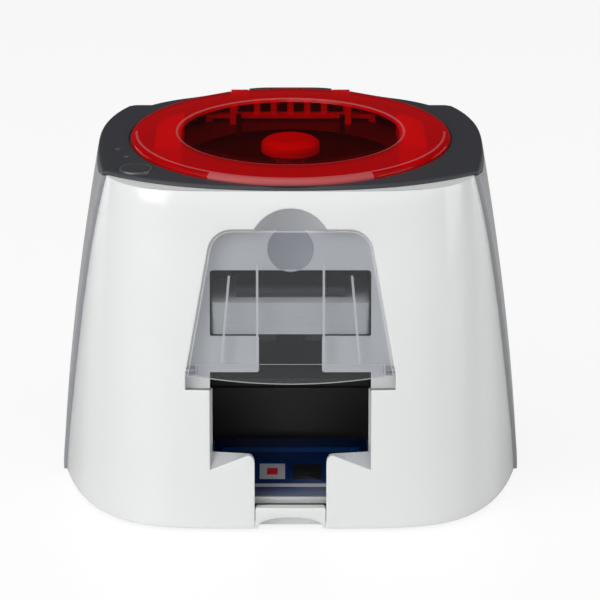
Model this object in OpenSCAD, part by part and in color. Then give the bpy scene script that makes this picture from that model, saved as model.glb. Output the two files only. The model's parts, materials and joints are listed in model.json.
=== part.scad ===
// Desktop card printer: a rounded white housing with a circular see-through lid on top, a hinged
// see-through door over the card feeder, and a T-shaped output mouth.
// Millimetres. X to the right, Y to the back, Z up. The origin is on the table, under the middle.

/* [Body] */
// Width of the housing at its base
body_w = 262; // [250:1:280]
// Depth of the housing at its base
body_d = 237; // [232:1:250]
// Height of the front shell's top edge, at its middle
front_h = 185; // [182:1:195]
// Slope of the top, rising to the back, in degrees
top_tilt = 5.5; // [4:0.5:7]
// How far each side has leaned in at front_h
side_lean = 21.6; // [18:0.2:24]
// How far the front has leaned back at front_h
front_lean = 20; // [17:0.5:22]
// How far the back has leaned in at front_h
rear_lean = 19.2; // [16:0.2:21]
// Wall of the outer shells
wall = 2.5; // [2:0.1:3]
// How far the side panels stand proud of the front shell
side_step = 2.2; // [1:0.1:3]
// Distance of the rear seam behind the middle
rear_seam = 60; // [50:1:70]
// Seam between two outer panels
panel_gap = 0.3; // [0.2:0.05:0.5]
// Height of the rubber feet below the base
foot_h = 1.5; // [1:0.1:3]
// Diameter of the rubber feet
foot_d = 14; // [10:1:18]
// Thickness of the base tray
base_t = 4; // [3.5:0.1:5]

/* [Top and lid] */
// Thickness of the bezel's top plate
bezel_t = 2; // [1.8:0.1:3]
// Depth of the bezel's side skirt
skirt_h = 3; // [2:0.1:4]
// Radius of the lid
lid_r = 90; // [86:0.5:91]
// Gap between the lid and the bezel
lid_gap = 0.9; // [0.8:0.1:1.2]
// Distance of the lid's centre behind the front edge, along the slope
lid_v = 93.3; // [93:0.1:95]
// Radius of the lid's sunk window
window_r = 61.3; // [55:0.1:66]
// Width of the ledge under the lid's rim
ledge_w = 6; // [4:0.5:8]
// Diameter of the lid's hinge pins
lid_pin_d = 3; // [2.5:0.1:3.5]
// Distance of each lid hinge from the middle
lid_hinge_x = 30; // [24:1:40]
// Distance of the power button inside the end of the front edge
button_inset = 25.2; // [23:0.2:27]
// Distance of the power button behind the front edge, along the slope
button_v = 31.7; // [30:0.1:34]
// Diameter of the power button
button_d = 14.6; // [12:0.1:15]
// Travel of the power button
button_travel = 1; // [0.5:0.1:1.5]

/* [Cards] */
// Long side of a card
card_w = 85.6; // [84:0.1:86]
// Short side of a card
card_l = 54; // [52:0.1:55]
// Thickness of a card
card_t = 0.76; // [0.5:0.01:0.84]
// Blank cards in the feeder
blank_count = 23; // [10:1:30]
// Printed cards in the output tray
printed_count = 7; // [1:1:10]
// Free width left beside the cards
card_room = 1.4; // [1:0.1:2.4]

/* [Feeder door] */
// Half width of the door at its hinges
door_low_w = 55.5; // [54:0.1:57]
// Half width of the door at its upper corners
door_high_w = 43.5; // [42:0.1:46]
// Height of the door above its hinge line
door_h = 76; // [72:0.5:78]
// Thickness of the door
door_t = 2.2; // [1.8:0.1:2.6]
// Lean of the door, in degrees
door_lean = 8.2; // [7:0.1:9]
// Height of the door's hinge line
door_z = 88; // [86:0.5:90]
// Gap round the door
door_gap = 1.2; // [0.8:0.1:1.6]
// Depth of the recess behind the door
pan_depth = 7.5; // [7:0.1:9]
// Diameter of the door's hinge pins
door_pin_d = 2.4; // [2:0.1:2.6]
// How far the door's grip lip bulges out
lip_bulge = 5; // [3:0.5:6]

/* [Openings] */
// Height of the feeder opening's top edge
bay_top = 140.8; // [138:0.1:146]
// Height of the output mouth's shoulders
shoulder_z = 43; // [40:0.5:48]
// Half width of the output notch
notch_w = 19.4; // [15:0.1:25]

/* [Card path] */
// Height of the card path
path_z = 105.5; // [104:0.1:107]
// Radius of the drive rollers
roller_r = 7; // [6:0.1:7.5]
// Diameter of the roller shafts
shaft_d = 6; // [5:0.1:6.5]
// Distance of the platen roller behind the middle
platen_y = 22; // [20:0.5:24]
// Distance of the feed roller in front of the middle
feed_y = -30.5; // [-31:0.5:-29.5]
// Distance of the pickup roller in front of the middle
pickup_y = -58; // [-60:0.5:-56]
// Distance of the transport roller behind the middle
transport_y = 50; // [48:0.5:52]
// Gap between the inner faces of the side frames, halved
frame_x = 47.5; // [47:0.1:49]
// Thickness of the side frames
frame_t = 2; // [1.5:0.1:2.5]
// Module of the gears
gear_m = 1; // [1:0.05:1]
// Teeth on the platen gear
platen_teeth = 38; // [38:1:40]
// Teeth on the motor pinion
pinion_teeth = 16; // [16:1:18]
// Width of the gears
gear_w = 4.6; // [3.5:0.1:4.8]
// Outer radius of the belt pulleys' grooves
pulley_r = 8; // [7:0.1:9]
// Thickness of the drive belt
belt_t = 1.5; // [1:0.1:2]

/* [Ribbon] */
// Height of the two ribbon spools
spool_z = 138; // [136:0.5:142]
// Position of the supply spool
supply_y = -14; // [-16:0.5:-12]
// Position of the take-up spool
takeup_y = 58; // [57:0.5:60]
// Radius of the ribbon on the supply spool
supply_r = 17; // [12:0.5:18]
// Radius of the ribbon on the take-up spool
takeup_r = 10; // [8:0.5:11]
// Width of the ribbon, halved
ribbon_x = 43.2; // [42:0.1:43.4]
// Teeth on the take-up gear
takeup_teeth = 32; // [32:1:32]
// Teeth on the ribbon motor's pinion
ribbon_teeth = 14; // [14:1:14]

/* [Hidden] */
$fn = 48;

// Clearances
run_gap = 0.05;      // radial play of a shaft in its bush
seat_gap = 0.3;      // between soft or curved faces that rest on each other
eps = 0.01;          // overshoot of a cut

// Shape of the housing in plan: superellipses whose exponents change with height
corner_n = 5.4;
rear_m = 2.1;
seam_y0 = 13;
seam_slope = 0.3085;
shoulder_f = 0.8;    // share of the half width drawn by equal steps across
cross_share = 0.6;   // share of the columns spent on that part

function rise(z, p) = pow(max(z, 0) / front_h, p);
function half_w(z) = body_w / 2 - side_lean * rise(z, 1.5);
function front_d(z) = body_d / 2 - front_lean * rise(z, 1.7);
function rear_d(z) = body_d / 2 - rear_lean * rise(z, 1.7);
function front_n(z) = 1.2 + 1.8 * rise(z, 2.3);
function rear_n(z) = 5 - 1.6 * rise(z, 2);
function seam_y(z) = -(seam_y0 + seam_slope * z);
function left_of(r, n) = max(0, 1 - pow(min(1, r), n));

// Front outline at height z, drawn inset by d
function front_y(x, z, d) =
  -(front_d(z) - d) * pow(left_of(abs(x) / (half_w(z) - d), corner_n), 1 / front_n(z));
function front_x(y, z, d) =
  (half_w(z) - d) * pow(left_of(abs(y) / (front_d(z) - d), front_n(z)), 1 / corner_n);
// Point of the front outline at share s, from -1 at the left seam to 1 at the right seam
function front_xy(s, z, d) =
  let (a = half_w(z) - d, w = abs(s), k = s < 0 ? -1 : 1)
  w <= cross_share
    ? let (x = a * shoulder_f * w / cross_share) [k * x, front_y(x, z, d)]
    : let (y0 = front_y(a * shoulder_f, z, d),
           y = y0 + (seam_y(z) - y0) * (w - cross_share) / (1 - cross_share))
      [k * front_x(y, z, d), y];
// Back outline at height z, inset by d
function rear_y(x, z, d) =
  (rear_d(z) - d) * pow(left_of(abs(x) / (half_w(z) - d), rear_n(z)), 1 / rear_m);
function rear_x(y, z, d) =
  (half_w(z) - d) * pow(left_of(y / (rear_d(z) - d), rear_m), 1 / rear_n(z));
function rear_xy(s, z, d) =
  let (a = half_w(z) - d, w = abs(s), k = s < 0 ? 1 : -1, f = 0.6)
  w <= cross_share
    ? let (x = a * f * w / cross_share) [k * x, rear_y(x, z, d)]
    : let (y0 = rear_y(a * f, z, d),
           y = y0 + (rear_seam - y0) * (w - cross_share) / (1 - cross_share))
      [k * rear_x(y, z, d), y];
// Half width of the side panels at (y, z), inset by d
function side_x(y, z, d) =
  y < 0
    ? half_w(z) - d
      - max(0, half_w(z) - front_x(seam_y(z), z, 0) - side_step) * pow(y / seam_y(z), 2)
    : rear_x(y, z, d);

// The sloping top plane, h above it; the top frame has v along the slope
top_y0 = front_d(front_h);
button_x = half_w(front_h) - button_inset;
function plane_z(y, h) = front_h + (y + top_y0) * tan(top_tilt) + h / cos(top_tilt);
function slope_y(v, h) = -top_y0 + v * cos(top_tilt) - h * sin(top_tilt);
function slope_z(v, h) = front_h + v * sin(top_tilt) + h * cos(top_tilt);
module top_frame() translate([0, -top_y0, front_h]) rotate([top_tilt, 0, 0]) children();
module at_top(x, v, h) top_frame() translate([x, v, h]) children();

// The leaning door plane: x, depth behind the face, height up the face
door_y = front_y(0, door_z, 0) + 0.6;
module door_frame() translate([0, door_y, door_z]) rotate([-door_lean, 0, 0]) children();
function pan_y(z, depth) = door_y + (z - door_z) * tan(door_lean) + depth / cos(door_lean);

// ---- helpers ----
function flat(rows) = [for (row = rows) for (p = row) p];

// A thin shell between two grids of points, columns from left to right as seen from outside
module grid_shell(outer, inner) {
  nj = len(outer);
  ni = len(outer[0]);
  o = nj * ni;
  quads = concat(
    [for (j = [0:nj - 2]) for (i = [0:ni - 2])
      [j * ni + i, (j + 1) * ni + i, (j + 1) * ni + i + 1, j * ni + i + 1]],
    [for (j = [0:nj - 2]) for (i = [0:ni - 2])
      [o + j * ni + i, o + j * ni + i + 1, o + (j + 1) * ni + i + 1, o + (j + 1) * ni + i]],
    [for (i = [0:ni - 2]) [i, i + 1, o + i + 1, o + i]],
    [for (i = [0:ni - 2]) let (t = (nj - 1) * ni + i) [t + 1, t, o + t, o + t + 1]],
    [for (j = [0:nj - 2]) let (t = j * ni) [t + ni, t, o + t, o + t + ni]],
    [for (j = [0:nj - 2]) let (t = j * ni + ni - 1) [t, t + ni, o + t + ni, o + t]]);
  polyhedron(points = concat(flat(outer), flat(inner)),
    faces = [for (q = quads) for (k = [0, 1]) k == 0 ? [q[0], q[1], q[2]] : [q[0], q[2], q[3]]]);
}

// A solid through closed rings of points, anticlockwise from above
module ring_loft(rings) {
  nj = len(rings);
  n = len(rings[0]);
  polyhedron(points = flat(rings), faces = concat(
    [[for (i = [0:n - 1]) i]],
    [[for (i = [n - 1:-1:0]) (nj - 1) * n + i]],
    [for (j = [0:nj - 2]) for (i = [0:n - 1]) for (k = [0, 1])
      let (a = j * n + i, b = j * n + (i + 1) % n)
      k == 0 ? [a, a + n, b + n] : [a, b + n, b]]));
}

// Solids drawn in the side view: local x is Y, local y is Z, extruded along X from x0
module side_slab(x0, length) translate([x0, 0, 0]) rotate([90, 0, 90]) linear_extrude(length) children();
module x_rod(y, z, x0, x1, r) translate([x0, y, z]) rotate([0, 90, 0]) cylinder(h = x1 - x0, r = r);
module both_sides() { children(); mirror([1, 0, 0]) children(); }
module box(x0, x1, y0, y1, z0, z1) translate([x0, y0, z0]) cube([x1 - x0, y1 - y0, z1 - z0]);

// Involute gear outline
function unroll(rb, r) = sqrt(max(0, pow(r / rb, 2) - 1)) * 180 / PI;
function inv_angle(t) = t - atan(t * PI / 180);
function gear_points(teeth, phase) =
  let (rp = gear_m * teeth / 2, pressure = 20, play = 0.16 * gear_m,
       rb = rp * cos(pressure), ra = rp + 0.9 * gear_m, rr = rp - 1.25 * gear_m,
       lowest = max(rb, rr),
       half = 90 / teeth - play / 2 / rp * 180 / PI + tan(pressure) * 180 / PI - pressure,
       radii = [for (k = [0:3]) lowest + (ra - lowest) * k / 3],
       flank = [for (r = radii) [r, -half + inv_angle(unroll(rb, r))]],
       tooth = concat([[rr, flank[0][1]]], flank,
                      [for (k = [3:-1:0]) [flank[k][0], -flank[k][1]]], [[rr, -flank[0][1]]]))
  [for (i = [0:teeth - 1]) for (p = tooth)
    let (a = p[1] + phase + 360 * i / teeth) p[0] * [cos(a), sin(a)]];
module gear(y, z, x0, width, teeth, phase, bore_r) difference() {
  translate([0, y, z]) side_slab(x0, width) polygon(gear_points(teeth, phase));
  x_rod(y, z, x0 - 1, x0 + width + 1, bore_r);
}

// Coil spring standing on z = 0, swept from a round wire
module coil_spring(radius, wire_r, turns, height) {
  sides = 6;
  per_turn = 12;
  n = turns * per_turn;
  points = [for (k = [0:n]) for (s = [0:sides - 1])
    let (a = 360 * k / per_turn, b = 360 * s / sides, r = radius + wire_r * cos(b))
    [r * cos(a), r * sin(a), wire_r + (height - 2 * wire_r) * k / n + wire_r * sin(b)]];
  polyhedron(points = points, faces = concat(
    [[for (s = [0:sides - 1]) s]],
    [[for (s = [sides - 1:-1:0]) n * sides + s]],
    [for (k = [0:n - 1]) for (s = [0:sides - 1]) for (q = [0, 1])
      let (a = k * sides + s, b = k * sides + (s + 1) % sides)
      q == 0 ? [a, a + sides, b + sides] : [a, b + sides, b]]));
}

// ---- shells ----
front_cols = 40;
front_rows = 12;
function front_top(s) = plane_z(front_xy(s, front_h, 0)[1], -0.15);
function front_grid(d) = [for (j = [0:front_rows]) [for (i = [0:front_cols])
  let (s = -1 + 2 * i / front_cols,
       z = foot_h + (front_top(s) - foot_h) * j / front_rows, p = front_xy(s, z, d))
  [p[0], p[1], z]]];

side_cols = 10;
side_rows = 12;
panel_top = -skirt_h - panel_gap;
function side_grid(d) = [for (j = [0:side_rows]) [for (i = [0:side_cols])
  let (t = i / side_cols,
       y_top = rear_seam - panel_gap + (seam_y(front_h) + panel_gap - rear_seam) * t,
       z = foot_h + (plane_z(y_top, panel_top) - foot_h) * j / side_rows,
       y = rear_seam - panel_gap + (seam_y(z) + 2 * panel_gap - rear_seam) * t)
  [-side_x(y, z, d), y, z]]];

rear_cols = 28;
rear_rows = 10;
function rear_grid(d) = [for (j = [0:rear_rows]) [for (i = [0:rear_cols])
  let (s = -1 + 2 * i / rear_cols, near = plane_z(rear_xy(s, front_h, 0)[1], panel_top),
       top = plane_z(rear_xy(s, near, 0)[1], panel_top - 0.1),
       z = foot_h + (top - foot_h) * j / rear_rows, p = rear_xy(s, z, d))
  [p[0], p[1], z]]];

// Outline of the whole housing at height z, inset by d, anticlockwise from the left seam
ring_front = 24;
ring_side = 6;
ring_rear = 20;
ring_n = ring_front + ring_rear + 2 * ring_side;
function ring_point(i, z, d) =
  i <= ring_front ? front_xy(-1 + 2 * i / ring_front, z, d)
  : i < ring_front + ring_side
    ? let (y = seam_y(z) + (rear_seam - seam_y(z)) * (i - ring_front) / ring_side) [side_x(y, z, d), y]
  : i <= ring_front + ring_side + ring_rear
    ? rear_xy(-1 + 2 * (i - ring_front - ring_side) / ring_rear, z, d)
  : let (y = seam_y(z) + (rear_seam - seam_y(z)) * (ring_n - i) / ring_side) [-side_x(y, z, d), y];
function body_ring(z, d) = [for (i = [0:ring_n - 1]) ring_point(i, z, d)];
function top_ring(d, h) = [for (i = [0:ring_n - 1])
  let (near = ring_point(i, front_h, d), p = ring_point(i, plane_z(near[1], h), d))
  [p[0], p[1], plane_z(p[1], h)]];

// Screws: one pattern for all of them
screw_d = 3;
head_d = 5.6;
head_h = 2;
boss_r = 4;
screw_l = 10;
module screw() {
  translate([0, 0, -head_h]) cylinder(h = head_h, d = head_d);
  cylinder(h = screw_l, d = screw_d);
}
base_top = foot_h + base_t;
front_boss = [90, front_y(90, base_top, 0) + wall + boss_r + 4];
side_boss = [[half_w(base_top) - wall - boss_r - 2, 8], [half_w(base_top) - wall - boss_r - 4, 46]];
rear_boss = [62, rear_y(62, base_top, 0) - wall - boss_r - 1];
boss_spots = [front_boss, side_boss[0], side_boss[1], rear_boss];
boss_h = 14;
bezel_x = half_w(front_h) - wall - boss_r - 5;
bezel_spots = [[bezel_x, lid_v - 1.3], [bezel_x - 2, lid_v + 38.7]];
bezel_drop = 12;
tab_t = 2.5;
module boss(spot) difference() {
  translate([spot[0], spot[1], base_top]) cylinder(h = boss_h, r = boss_r);
  translate([spot[0], spot[1], base_top - 1]) cylinder(h = boss_h - 1, d = screw_d + 2 * run_gap);
}

// Outline of the door and its recess, grown by g, in the door's plane
corner_r = 12;
module door_outline(g) {
  hull() {
    translate([-door_low_w - g, -2.4 - g]) square([2 * (door_low_w + g), 2]);
    both_sides() translate([door_high_w - corner_r, door_h - corner_r]) circle(r = corner_r + g);
  }
}

// Half width of the free space for the cards
card_half = card_w / 2 + card_room / 2;
recess_low = 9.6;      // depth of the recess below the hinge line
pan_t = 2.5;           // thickness of the recess floor
pan_in = 1.15;         // where the recess floor's block starts, inside the shell's wall
scoop_r = 24.25;       // sphere that hollows the finger scoop
scoop_out = 16.25;     // distance of its centre in front of the door's plane
scoop_z = 155;
scoop_wall = 2.2;
apron_z = 86;          // lower edge of the apron under the feeder opening
cut_back = -80;         // the front's openings are cut this far back
finger_w = 17;         // half width of the finger notch in the apron

module recess_outline(g) {
  door_outline(door_gap + g);
  translate([-door_low_w - door_gap - g, -recess_low - g])
    square([2 * (door_low_w + door_gap + g), recess_low]);
}
module front_shell() color("white") difference() {
  union() {
    grid_shell(front_grid(0), front_grid(wall));
    door_frame() translate([0, pan_in, 0]) rotate([90, 0, 0]) translate([0, 0, -pan_depth - pan_t + pan_in])
      linear_extrude(pan_depth + pan_t - pan_in) recess_outline(pan_t);
    translate([0, pan_y(scoop_z, -scoop_out), scoop_z]) intersection() {
      sphere(r = scoop_r + scoop_wall);
      box(-scoop_r, scoop_r, scoop_out + pan_in, scoop_r + 5, -scoop_r, scoop_r);
    }
    both_sides() {
      boss(front_boss);
      box(front_boss[0] - 1.5, front_boss[0] + 1.5,
        front_y(front_boss[0] + 1.5, base_top + boss_h, 0) + wall / 3, front_boss[1] - boss_r + 1,
        base_top, base_top + boss_h);
    }
  }
  // recess for the door
  door_frame() translate([0, pan_depth, 0]) rotate([90, 0, 0]) linear_extrude(pan_depth + 10) recess_outline(0);
  // finger scoop
  translate([0, pan_y(scoop_z, -scoop_out), scoop_z]) sphere(r = scoop_r);
  // feeder opening, the finger notch in its apron, and the T-shaped output mouth
  box(-card_half, card_half, -body_d, cut_back, path_z, bay_top);
  box(-finger_w, finger_w, -body_d, cut_back, apron_z - 1, path_z + 1);
  box(-card_half, card_half, -body_d, cut_back, shoulder_z, apron_z);
  box(-notch_w, notch_w, -body_d, cut_back, -1, shoulder_z + 1);
  // bores for the door's pins
  door_pins(run_gap);
}

// Hinge line of the door in its own plane
door_axis_y = 2.6;
door_axis_z = 0.8;
door_boss_r = 2.5;
door_pin_in = 4;       // how far the pins reach into the door
module door_pins(g) both_sides() door_frame()
  x_rod(door_axis_y, door_axis_z, door_low_w - door_pin_in, door_low_w + door_gap + pan_t - 0.2, door_pin_d / 2 + g);

lip_cols = 24;
lip_top = 4.5;         // fold line above the door's lower edge
lip_drop = 3.4;        // how far the lip hangs below the hinge line at its middle
lip_half = door_low_w - 5;
function lip_point(i, j, d) =
  let (x = -lip_half + 2 * lip_half * i / lip_cols, f = 1 - pow(x / lip_half, 2))
  [x, -lip_bulge * f * (1 - j) + d, (1 - j) * (-2.2 - lip_drop * f) + j * lip_top];
module feeder_door() color("gainsboro") difference() {
  union() {
    door_frame() {
      // plate above the fold line, and the bulging grip lip below it
      intersection() {
        translate([0, door_t - 0.2, 0]) rotate([90, 0, 0]) linear_extrude(door_t) door_outline(0);
        box(-door_low_w, door_low_w, -1, door_t, lip_top - 0.3, door_h + 1);
      }
      both_sides() box(lip_half - 1, door_low_w, -0.2, door_t - 0.2, -2.2, lip_top);
      grid_shell([for (j = [0, 0.5, 1]) [for (i = [0:lip_cols]) lip_point(i, j, -0.2)]],
        [for (j = [0, 0.5, 1]) [for (i = [0:lip_cols]) lip_point(i, j, door_t - 0.2)]]);
      both_sides() {
        // hinge barrels
        x_rod(door_axis_y, door_axis_z, door_low_w - door_pin_in - 1.5, door_low_w, door_boss_r);
        // stiffening ribs on the inside
        box(17.2, 18.6, door_t - 0.3, door_t + 2.4, lip_top, 58);
        translate([36.6, 0, 0]) rotate([0, -5, 0]) box(0, 1.2, door_t - 0.3, door_t + 2, lip_top, 52);
      }
    }
  }
  door_pins(run_gap);
}
module door_hinge_pins() color("silver") door_pins(0);

// where a bezel shelf ends, inside the wall
function shelf_x(v) = side_x(slope_y(v, -bezel_drop), slope_z(v, -bezel_drop), wall / 2);
module side_panel() {
  grid_shell(side_grid(0), side_grid(wall));
  for (spot = side_boss) mirror([1, 0, 0]) {
    boss(spot);
    box(spot[0] + boss_r - 1, side_x(spot[1] + 1.5, base_top + boss_h, 0) - wall / 3, spot[1] - 1.5, spot[1] + 1.5,
      base_top, base_top + boss_h);
  }
  // shelves that the bezel is screwed to
  for (spot = bezel_spots) mirror([1, 0, 0]) difference() {
    top_frame() translate([0, 0, -bezel_drop - tab_t]) linear_extrude(tab_t) polygon([
      [spot[0] - boss_r, spot[1] - boss_r], [shelf_x(spot[1] - boss_r), spot[1] - boss_r],
      [shelf_x(spot[1] + boss_r), spot[1] + boss_r], [spot[0] - boss_r, spot[1] + boss_r]]);
    at_top(spot[0], spot[1], -bezel_drop - 5) cylinder(h = 10, d = screw_d + 2 * run_gap);
  }
}
module side_panel_left() color("silver") side_panel();
module side_panel_right() color("silver") mirror([1, 0, 0]) side_panel();

// Sockets at the back: data socket and power inlet on the main board
socket_z = 14;
data_x = 22;
power_x = -20;
vent_n = 9;
module rear_shell() color("silver") difference() {
  union() {
    grid_shell(rear_grid(0), rear_grid(wall));
    both_sides() {
      boss(rear_boss);
      box(rear_boss[0] - 1.5, rear_boss[0] + 1.5, rear_boss[1] + boss_r - 1,
        rear_y(rear_boss[0] + 1.5, base_top + boss_h, 0) - wall / 3, base_top, base_top + boss_h);
    }
  }
  box(data_x - 6.4, data_x + 6.4, rear_boss[1], body_d, pcb_z + 1.2, socket_z + 11.4);
  x_pos_bore(power_x, socket_z + 5.5, 4.2);
  for (i = [0:vent_n - 1])
    translate([-44 + 88 * i / (vent_n - 1), rear_boss[1] - 5, 120]) rotate([-90, 0, 0]) linear_extrude(40)
      union() {
        translate([-1.5, -16]) square([3, 32]);
        for (k = [-16, 16]) translate([0, k]) circle(r = 1.5);
      }
}
module x_pos_bore(x, z, r) translate([x, rear_boss[1], z]) rotate([-90, 0, 0]) cylinder(h = 60, r = r);

module base_tray() color("dimgray") difference() {
  translate([0, 0, foot_h]) linear_extrude(base_t)
    polygon(body_ring(base_top, wall + panel_gap + 0.2));
  both_sides() for (spot = boss_spots) {
    translate([spot[0], spot[1], foot_h - 1]) cylinder(h = base_t + 2, d = screw_d + 2 * run_gap);
    translate([spot[0], spot[1], foot_h - 1]) cylinder(h = head_h + 1.2, d = head_d + 0.4);
  }
  both_sides() for (spot = foot_spots)
    translate([spot[0], spot[1], foot_h - 1]) cylinder(h = base_t + 2, r = foot_stud_r + run_gap);
  box(-notch_w, notch_w, -body_d, tray_front + 2, 0, base_top + 1);
}
foot_stud_r = 3;
foot_spots = [[98, -72], [98, 74]];
module rubber_feet() color("black") both_sides() for (spot = foot_spots) translate([spot[0], spot[1], 0]) {
  cylinder(h = foot_h, d = foot_d);
  cylinder(h = foot_h + base_t - 0.5, r = foot_stud_r);
}
module screws() color("silver") {
  both_sides() for (spot = boss_spots) translate([spot[0], spot[1], foot_h + head_h + 0.2]) screw();
  both_sides() for (spot = bezel_spots)
    at_top(spot[0], spot[1], -bezel_drop - tab_t) screw();
}

// ---- top bezel and lid ----
open_r = lid_r + lid_gap;
ledge_r = lid_r - ledge_w;
ledge_t = 0.9;
hinge_v = lid_v + open_r + 4.5;
hinge_h = -2.5;
barrel_r = 2.6;
arm_w = 10;
arm_v = lid_v + sqrt(lid_r * lid_r - pow(lid_hinge_x + arm_w / 2, 2)) - 4;
slot_w = arm_w + 1;
slot_play = 1.5;
ear_t = 3.6;
led_spots = [[button_x + 11.8, button_v + 36.1], [button_x + 6.3, button_v + 21.7]];
led_r = 1.6;
module top_bezel() color("#3c3d42") difference() {
  union() {
    ring_loft([top_ring(0, 0), top_ring(0.2, bezel_t * 0.55), top_ring(0.8, bezel_t * 0.88), top_ring(1.8, bezel_t)]);
    // side skirt, flush with the side panels and the back
    difference() {
      ring_loft([top_ring(0, -skirt_h), top_ring(0, eps)]);
      ring_loft([top_ring(wall, -skirt_h - 1), top_ring(wall, 1)]);
      translate([-body_w, seam_y(front_h) + panel_gap - body_d, front_h - 30]) cube([2 * body_w, body_d, 60]);
    }
    both_sides() for (spot = bezel_spots) at_top(spot[0], spot[1], -bezel_drop)
      cylinder(h = bezel_drop + 0.5, r = boss_r);
    // ears that hold the lid's hinge pins
    both_sides() for (k = [-1, 1]) top_frame()
      hinge_ear(lid_hinge_x + k * (slot_w / 2 + ear_t / 2) - ear_t / 2);
  }
  at_top(0, lid_v, ledge_t) cylinder(h = 20, r = open_r, $fn = 96);
  at_top(0, lid_v, -20) cylinder(h = 40, r = ledge_r, $fn = 96);
  both_sides() top_frame() box(lid_hinge_x - slot_w / 2, lid_hinge_x + slot_w / 2, hinge_v - barrel_r - slot_play, hinge_v + 20, -20, 10);
  lid_pins(run_gap);
  both_sides() for (spot = bezel_spots) at_top(spot[0], spot[1], -bezel_drop - 1)
    cylinder(h = bezel_drop, d = screw_d + 2 * run_gap);
  at_top(-button_x, button_v, -5) cylinder(h = 20, d = button_d + 0.6);
  for (spot = led_spots) at_top(-spot[0], spot[1], -5) cylinder(h = 20, r = led_r + run_gap);
}
module hinge_ear(x0) difference() {
  union() {
    x_rod(hinge_v, hinge_h, x0, x0 + ear_t, barrel_r);
    box(x0, x0 + ear_t, hinge_v - barrel_r, hinge_v + barrel_r, hinge_h, 0.5);
  }
  x_rod(hinge_v, hinge_h, x0 - 1, x0 + ear_t + 1, lid_pin_d / 2 + run_gap);
}
module lid_pins(g) both_sides() top_frame()
  x_rod(hinge_v, hinge_h, lid_hinge_x - slot_w / 2 - ear_t, lid_hinge_x + slot_w / 2 + ear_t, lid_pin_d / 2 + g);
module lid_hinge_pins() color("silver") lid_pins(0);

// Lid profile: radius from the centre, height above the slope
rim_low = ledge_t + seat_gap;
lid_top = 5.5;
window_h = 3.6;
lid_wall = 2;
module lid_profile() polygon([
  [0, window_h], [window_r, window_h], [window_r + 0.9, window_h + 0.4], [window_r + 2.1, lid_top - 0.3],
  [window_r + 3.2, lid_top], [lid_r - 18, lid_top - 0.1], [lid_r - 8, lid_top - 0.3],
  [lid_r - 3.5, lid_top - 0.6], [lid_r - 1.6, lid_top - 1.1], [lid_r - 0.5, lid_top - 2],
  [lid_r, lid_top - 3.2], [lid_r, rim_low], [lid_r - lid_wall, rim_low],
  [lid_r - lid_wall - 0.4, lid_top - 2.9], [lid_r - 5, lid_top - 2.4], [window_r + 3.4, lid_top - lid_wall],
  [window_r + 2.4, lid_top - lid_wall - 0.3], [window_r + 1.2, window_h - lid_wall + 0.1],
  [0, window_h - lid_wall + 0.1]]);
module lid() color("red", 0.7) {
  at_top(0, lid_v, 0) rotate_extrude($fn = 96) lid_profile();
  // hinge arms
  both_sides() top_frame() difference() {
    union() {
      side_slab(lid_hinge_x - arm_w / 2, arm_w) polygon([
        [arm_v, bezel_t + 0.5], [arm_v, lid_top - 1.2], [hinge_v - 4, lid_top - 1.2], [hinge_v - 2, bezel_t + 0.3],
        [hinge_v + barrel_r * 0.6, hinge_h + barrel_r * 0.8], [hinge_v, hinge_h], [hinge_v - barrel_r, hinge_h],
        [hinge_v - barrel_r, bezel_t + 0.5]]);
      x_rod(hinge_v, hinge_h, lid_hinge_x - arm_w / 2, lid_hinge_x + arm_w / 2, barrel_r);
    }
    x_rod(hinge_v, hinge_h, 0, 2 * lid_hinge_x, lid_pin_d / 2 + run_gap);
  }
}

// ---- power button and lamps ----
board_h = -7;
board_t = 1.6;
cap_top = bezel_t + 0.8;
cap_low = -1.2;
module power_button() color("#45464b") at_top(-button_x, button_v, 0) difference() {
  union() {
    translate([0, 0, cap_low]) cylinder(h = cap_top - cap_low, d = button_d);
    translate([0, 0, cap_low - 0.8]) cylinder(h = 0.8 + eps, d = button_d + 2.4);
  }
  translate([0, 0, cap_low - 2]) cylinder(h = 2 + 2, d = button_d - 4);
}
module button_ring() color("silver") at_top(-button_x, button_v, bezel_t) difference() {
  cylinder(h = 0.6, d = button_d + 3.4);
  translate([0, 0, -1]) cylinder(h = 3, d = button_d + 0.6);
}
module button_spring() color("silver") at_top(-button_x, button_v, board_h + 0.05)
  coil_spring(3.4, 0.35, 4, cap_low + 2 - board_h - 0.1);
board_posts = [[6.8 - button_x, button_v - 8.1], [-button_x - 11.8, button_v + 39.8]];
module panel_board() color("darkgreen") {
  top_frame() difference() {
    translate([0, 0, board_h - board_t]) linear_extrude(board_t)
      translate([-button_x, button_v]) polygon([[-8.8, -9.7], [9.2, -10.7], [9.2, 12.3], [0.2, 18.3], [0.2, 42.3],
        [-15.8, 42.3], [-15.8, 16.3], [-8.8, 8.3]]);
    for (spot = board_posts) translate([spot[0], spot[1], -20]) cylinder(h = 40, d = 2.4);
  }
  // its two posts hang from the bezel
  top_frame() for (spot = board_posts) translate([spot[0], spot[1], board_h - board_t])
    cylinder(h = -board_h + board_t, d = 2.3);
}
module indicator_lenses() color("white") for (spot = led_spots)
  at_top(-spot[0], spot[1], board_h) cylinder(h = bezel_t - board_h + 0.2, r = led_r);

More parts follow.
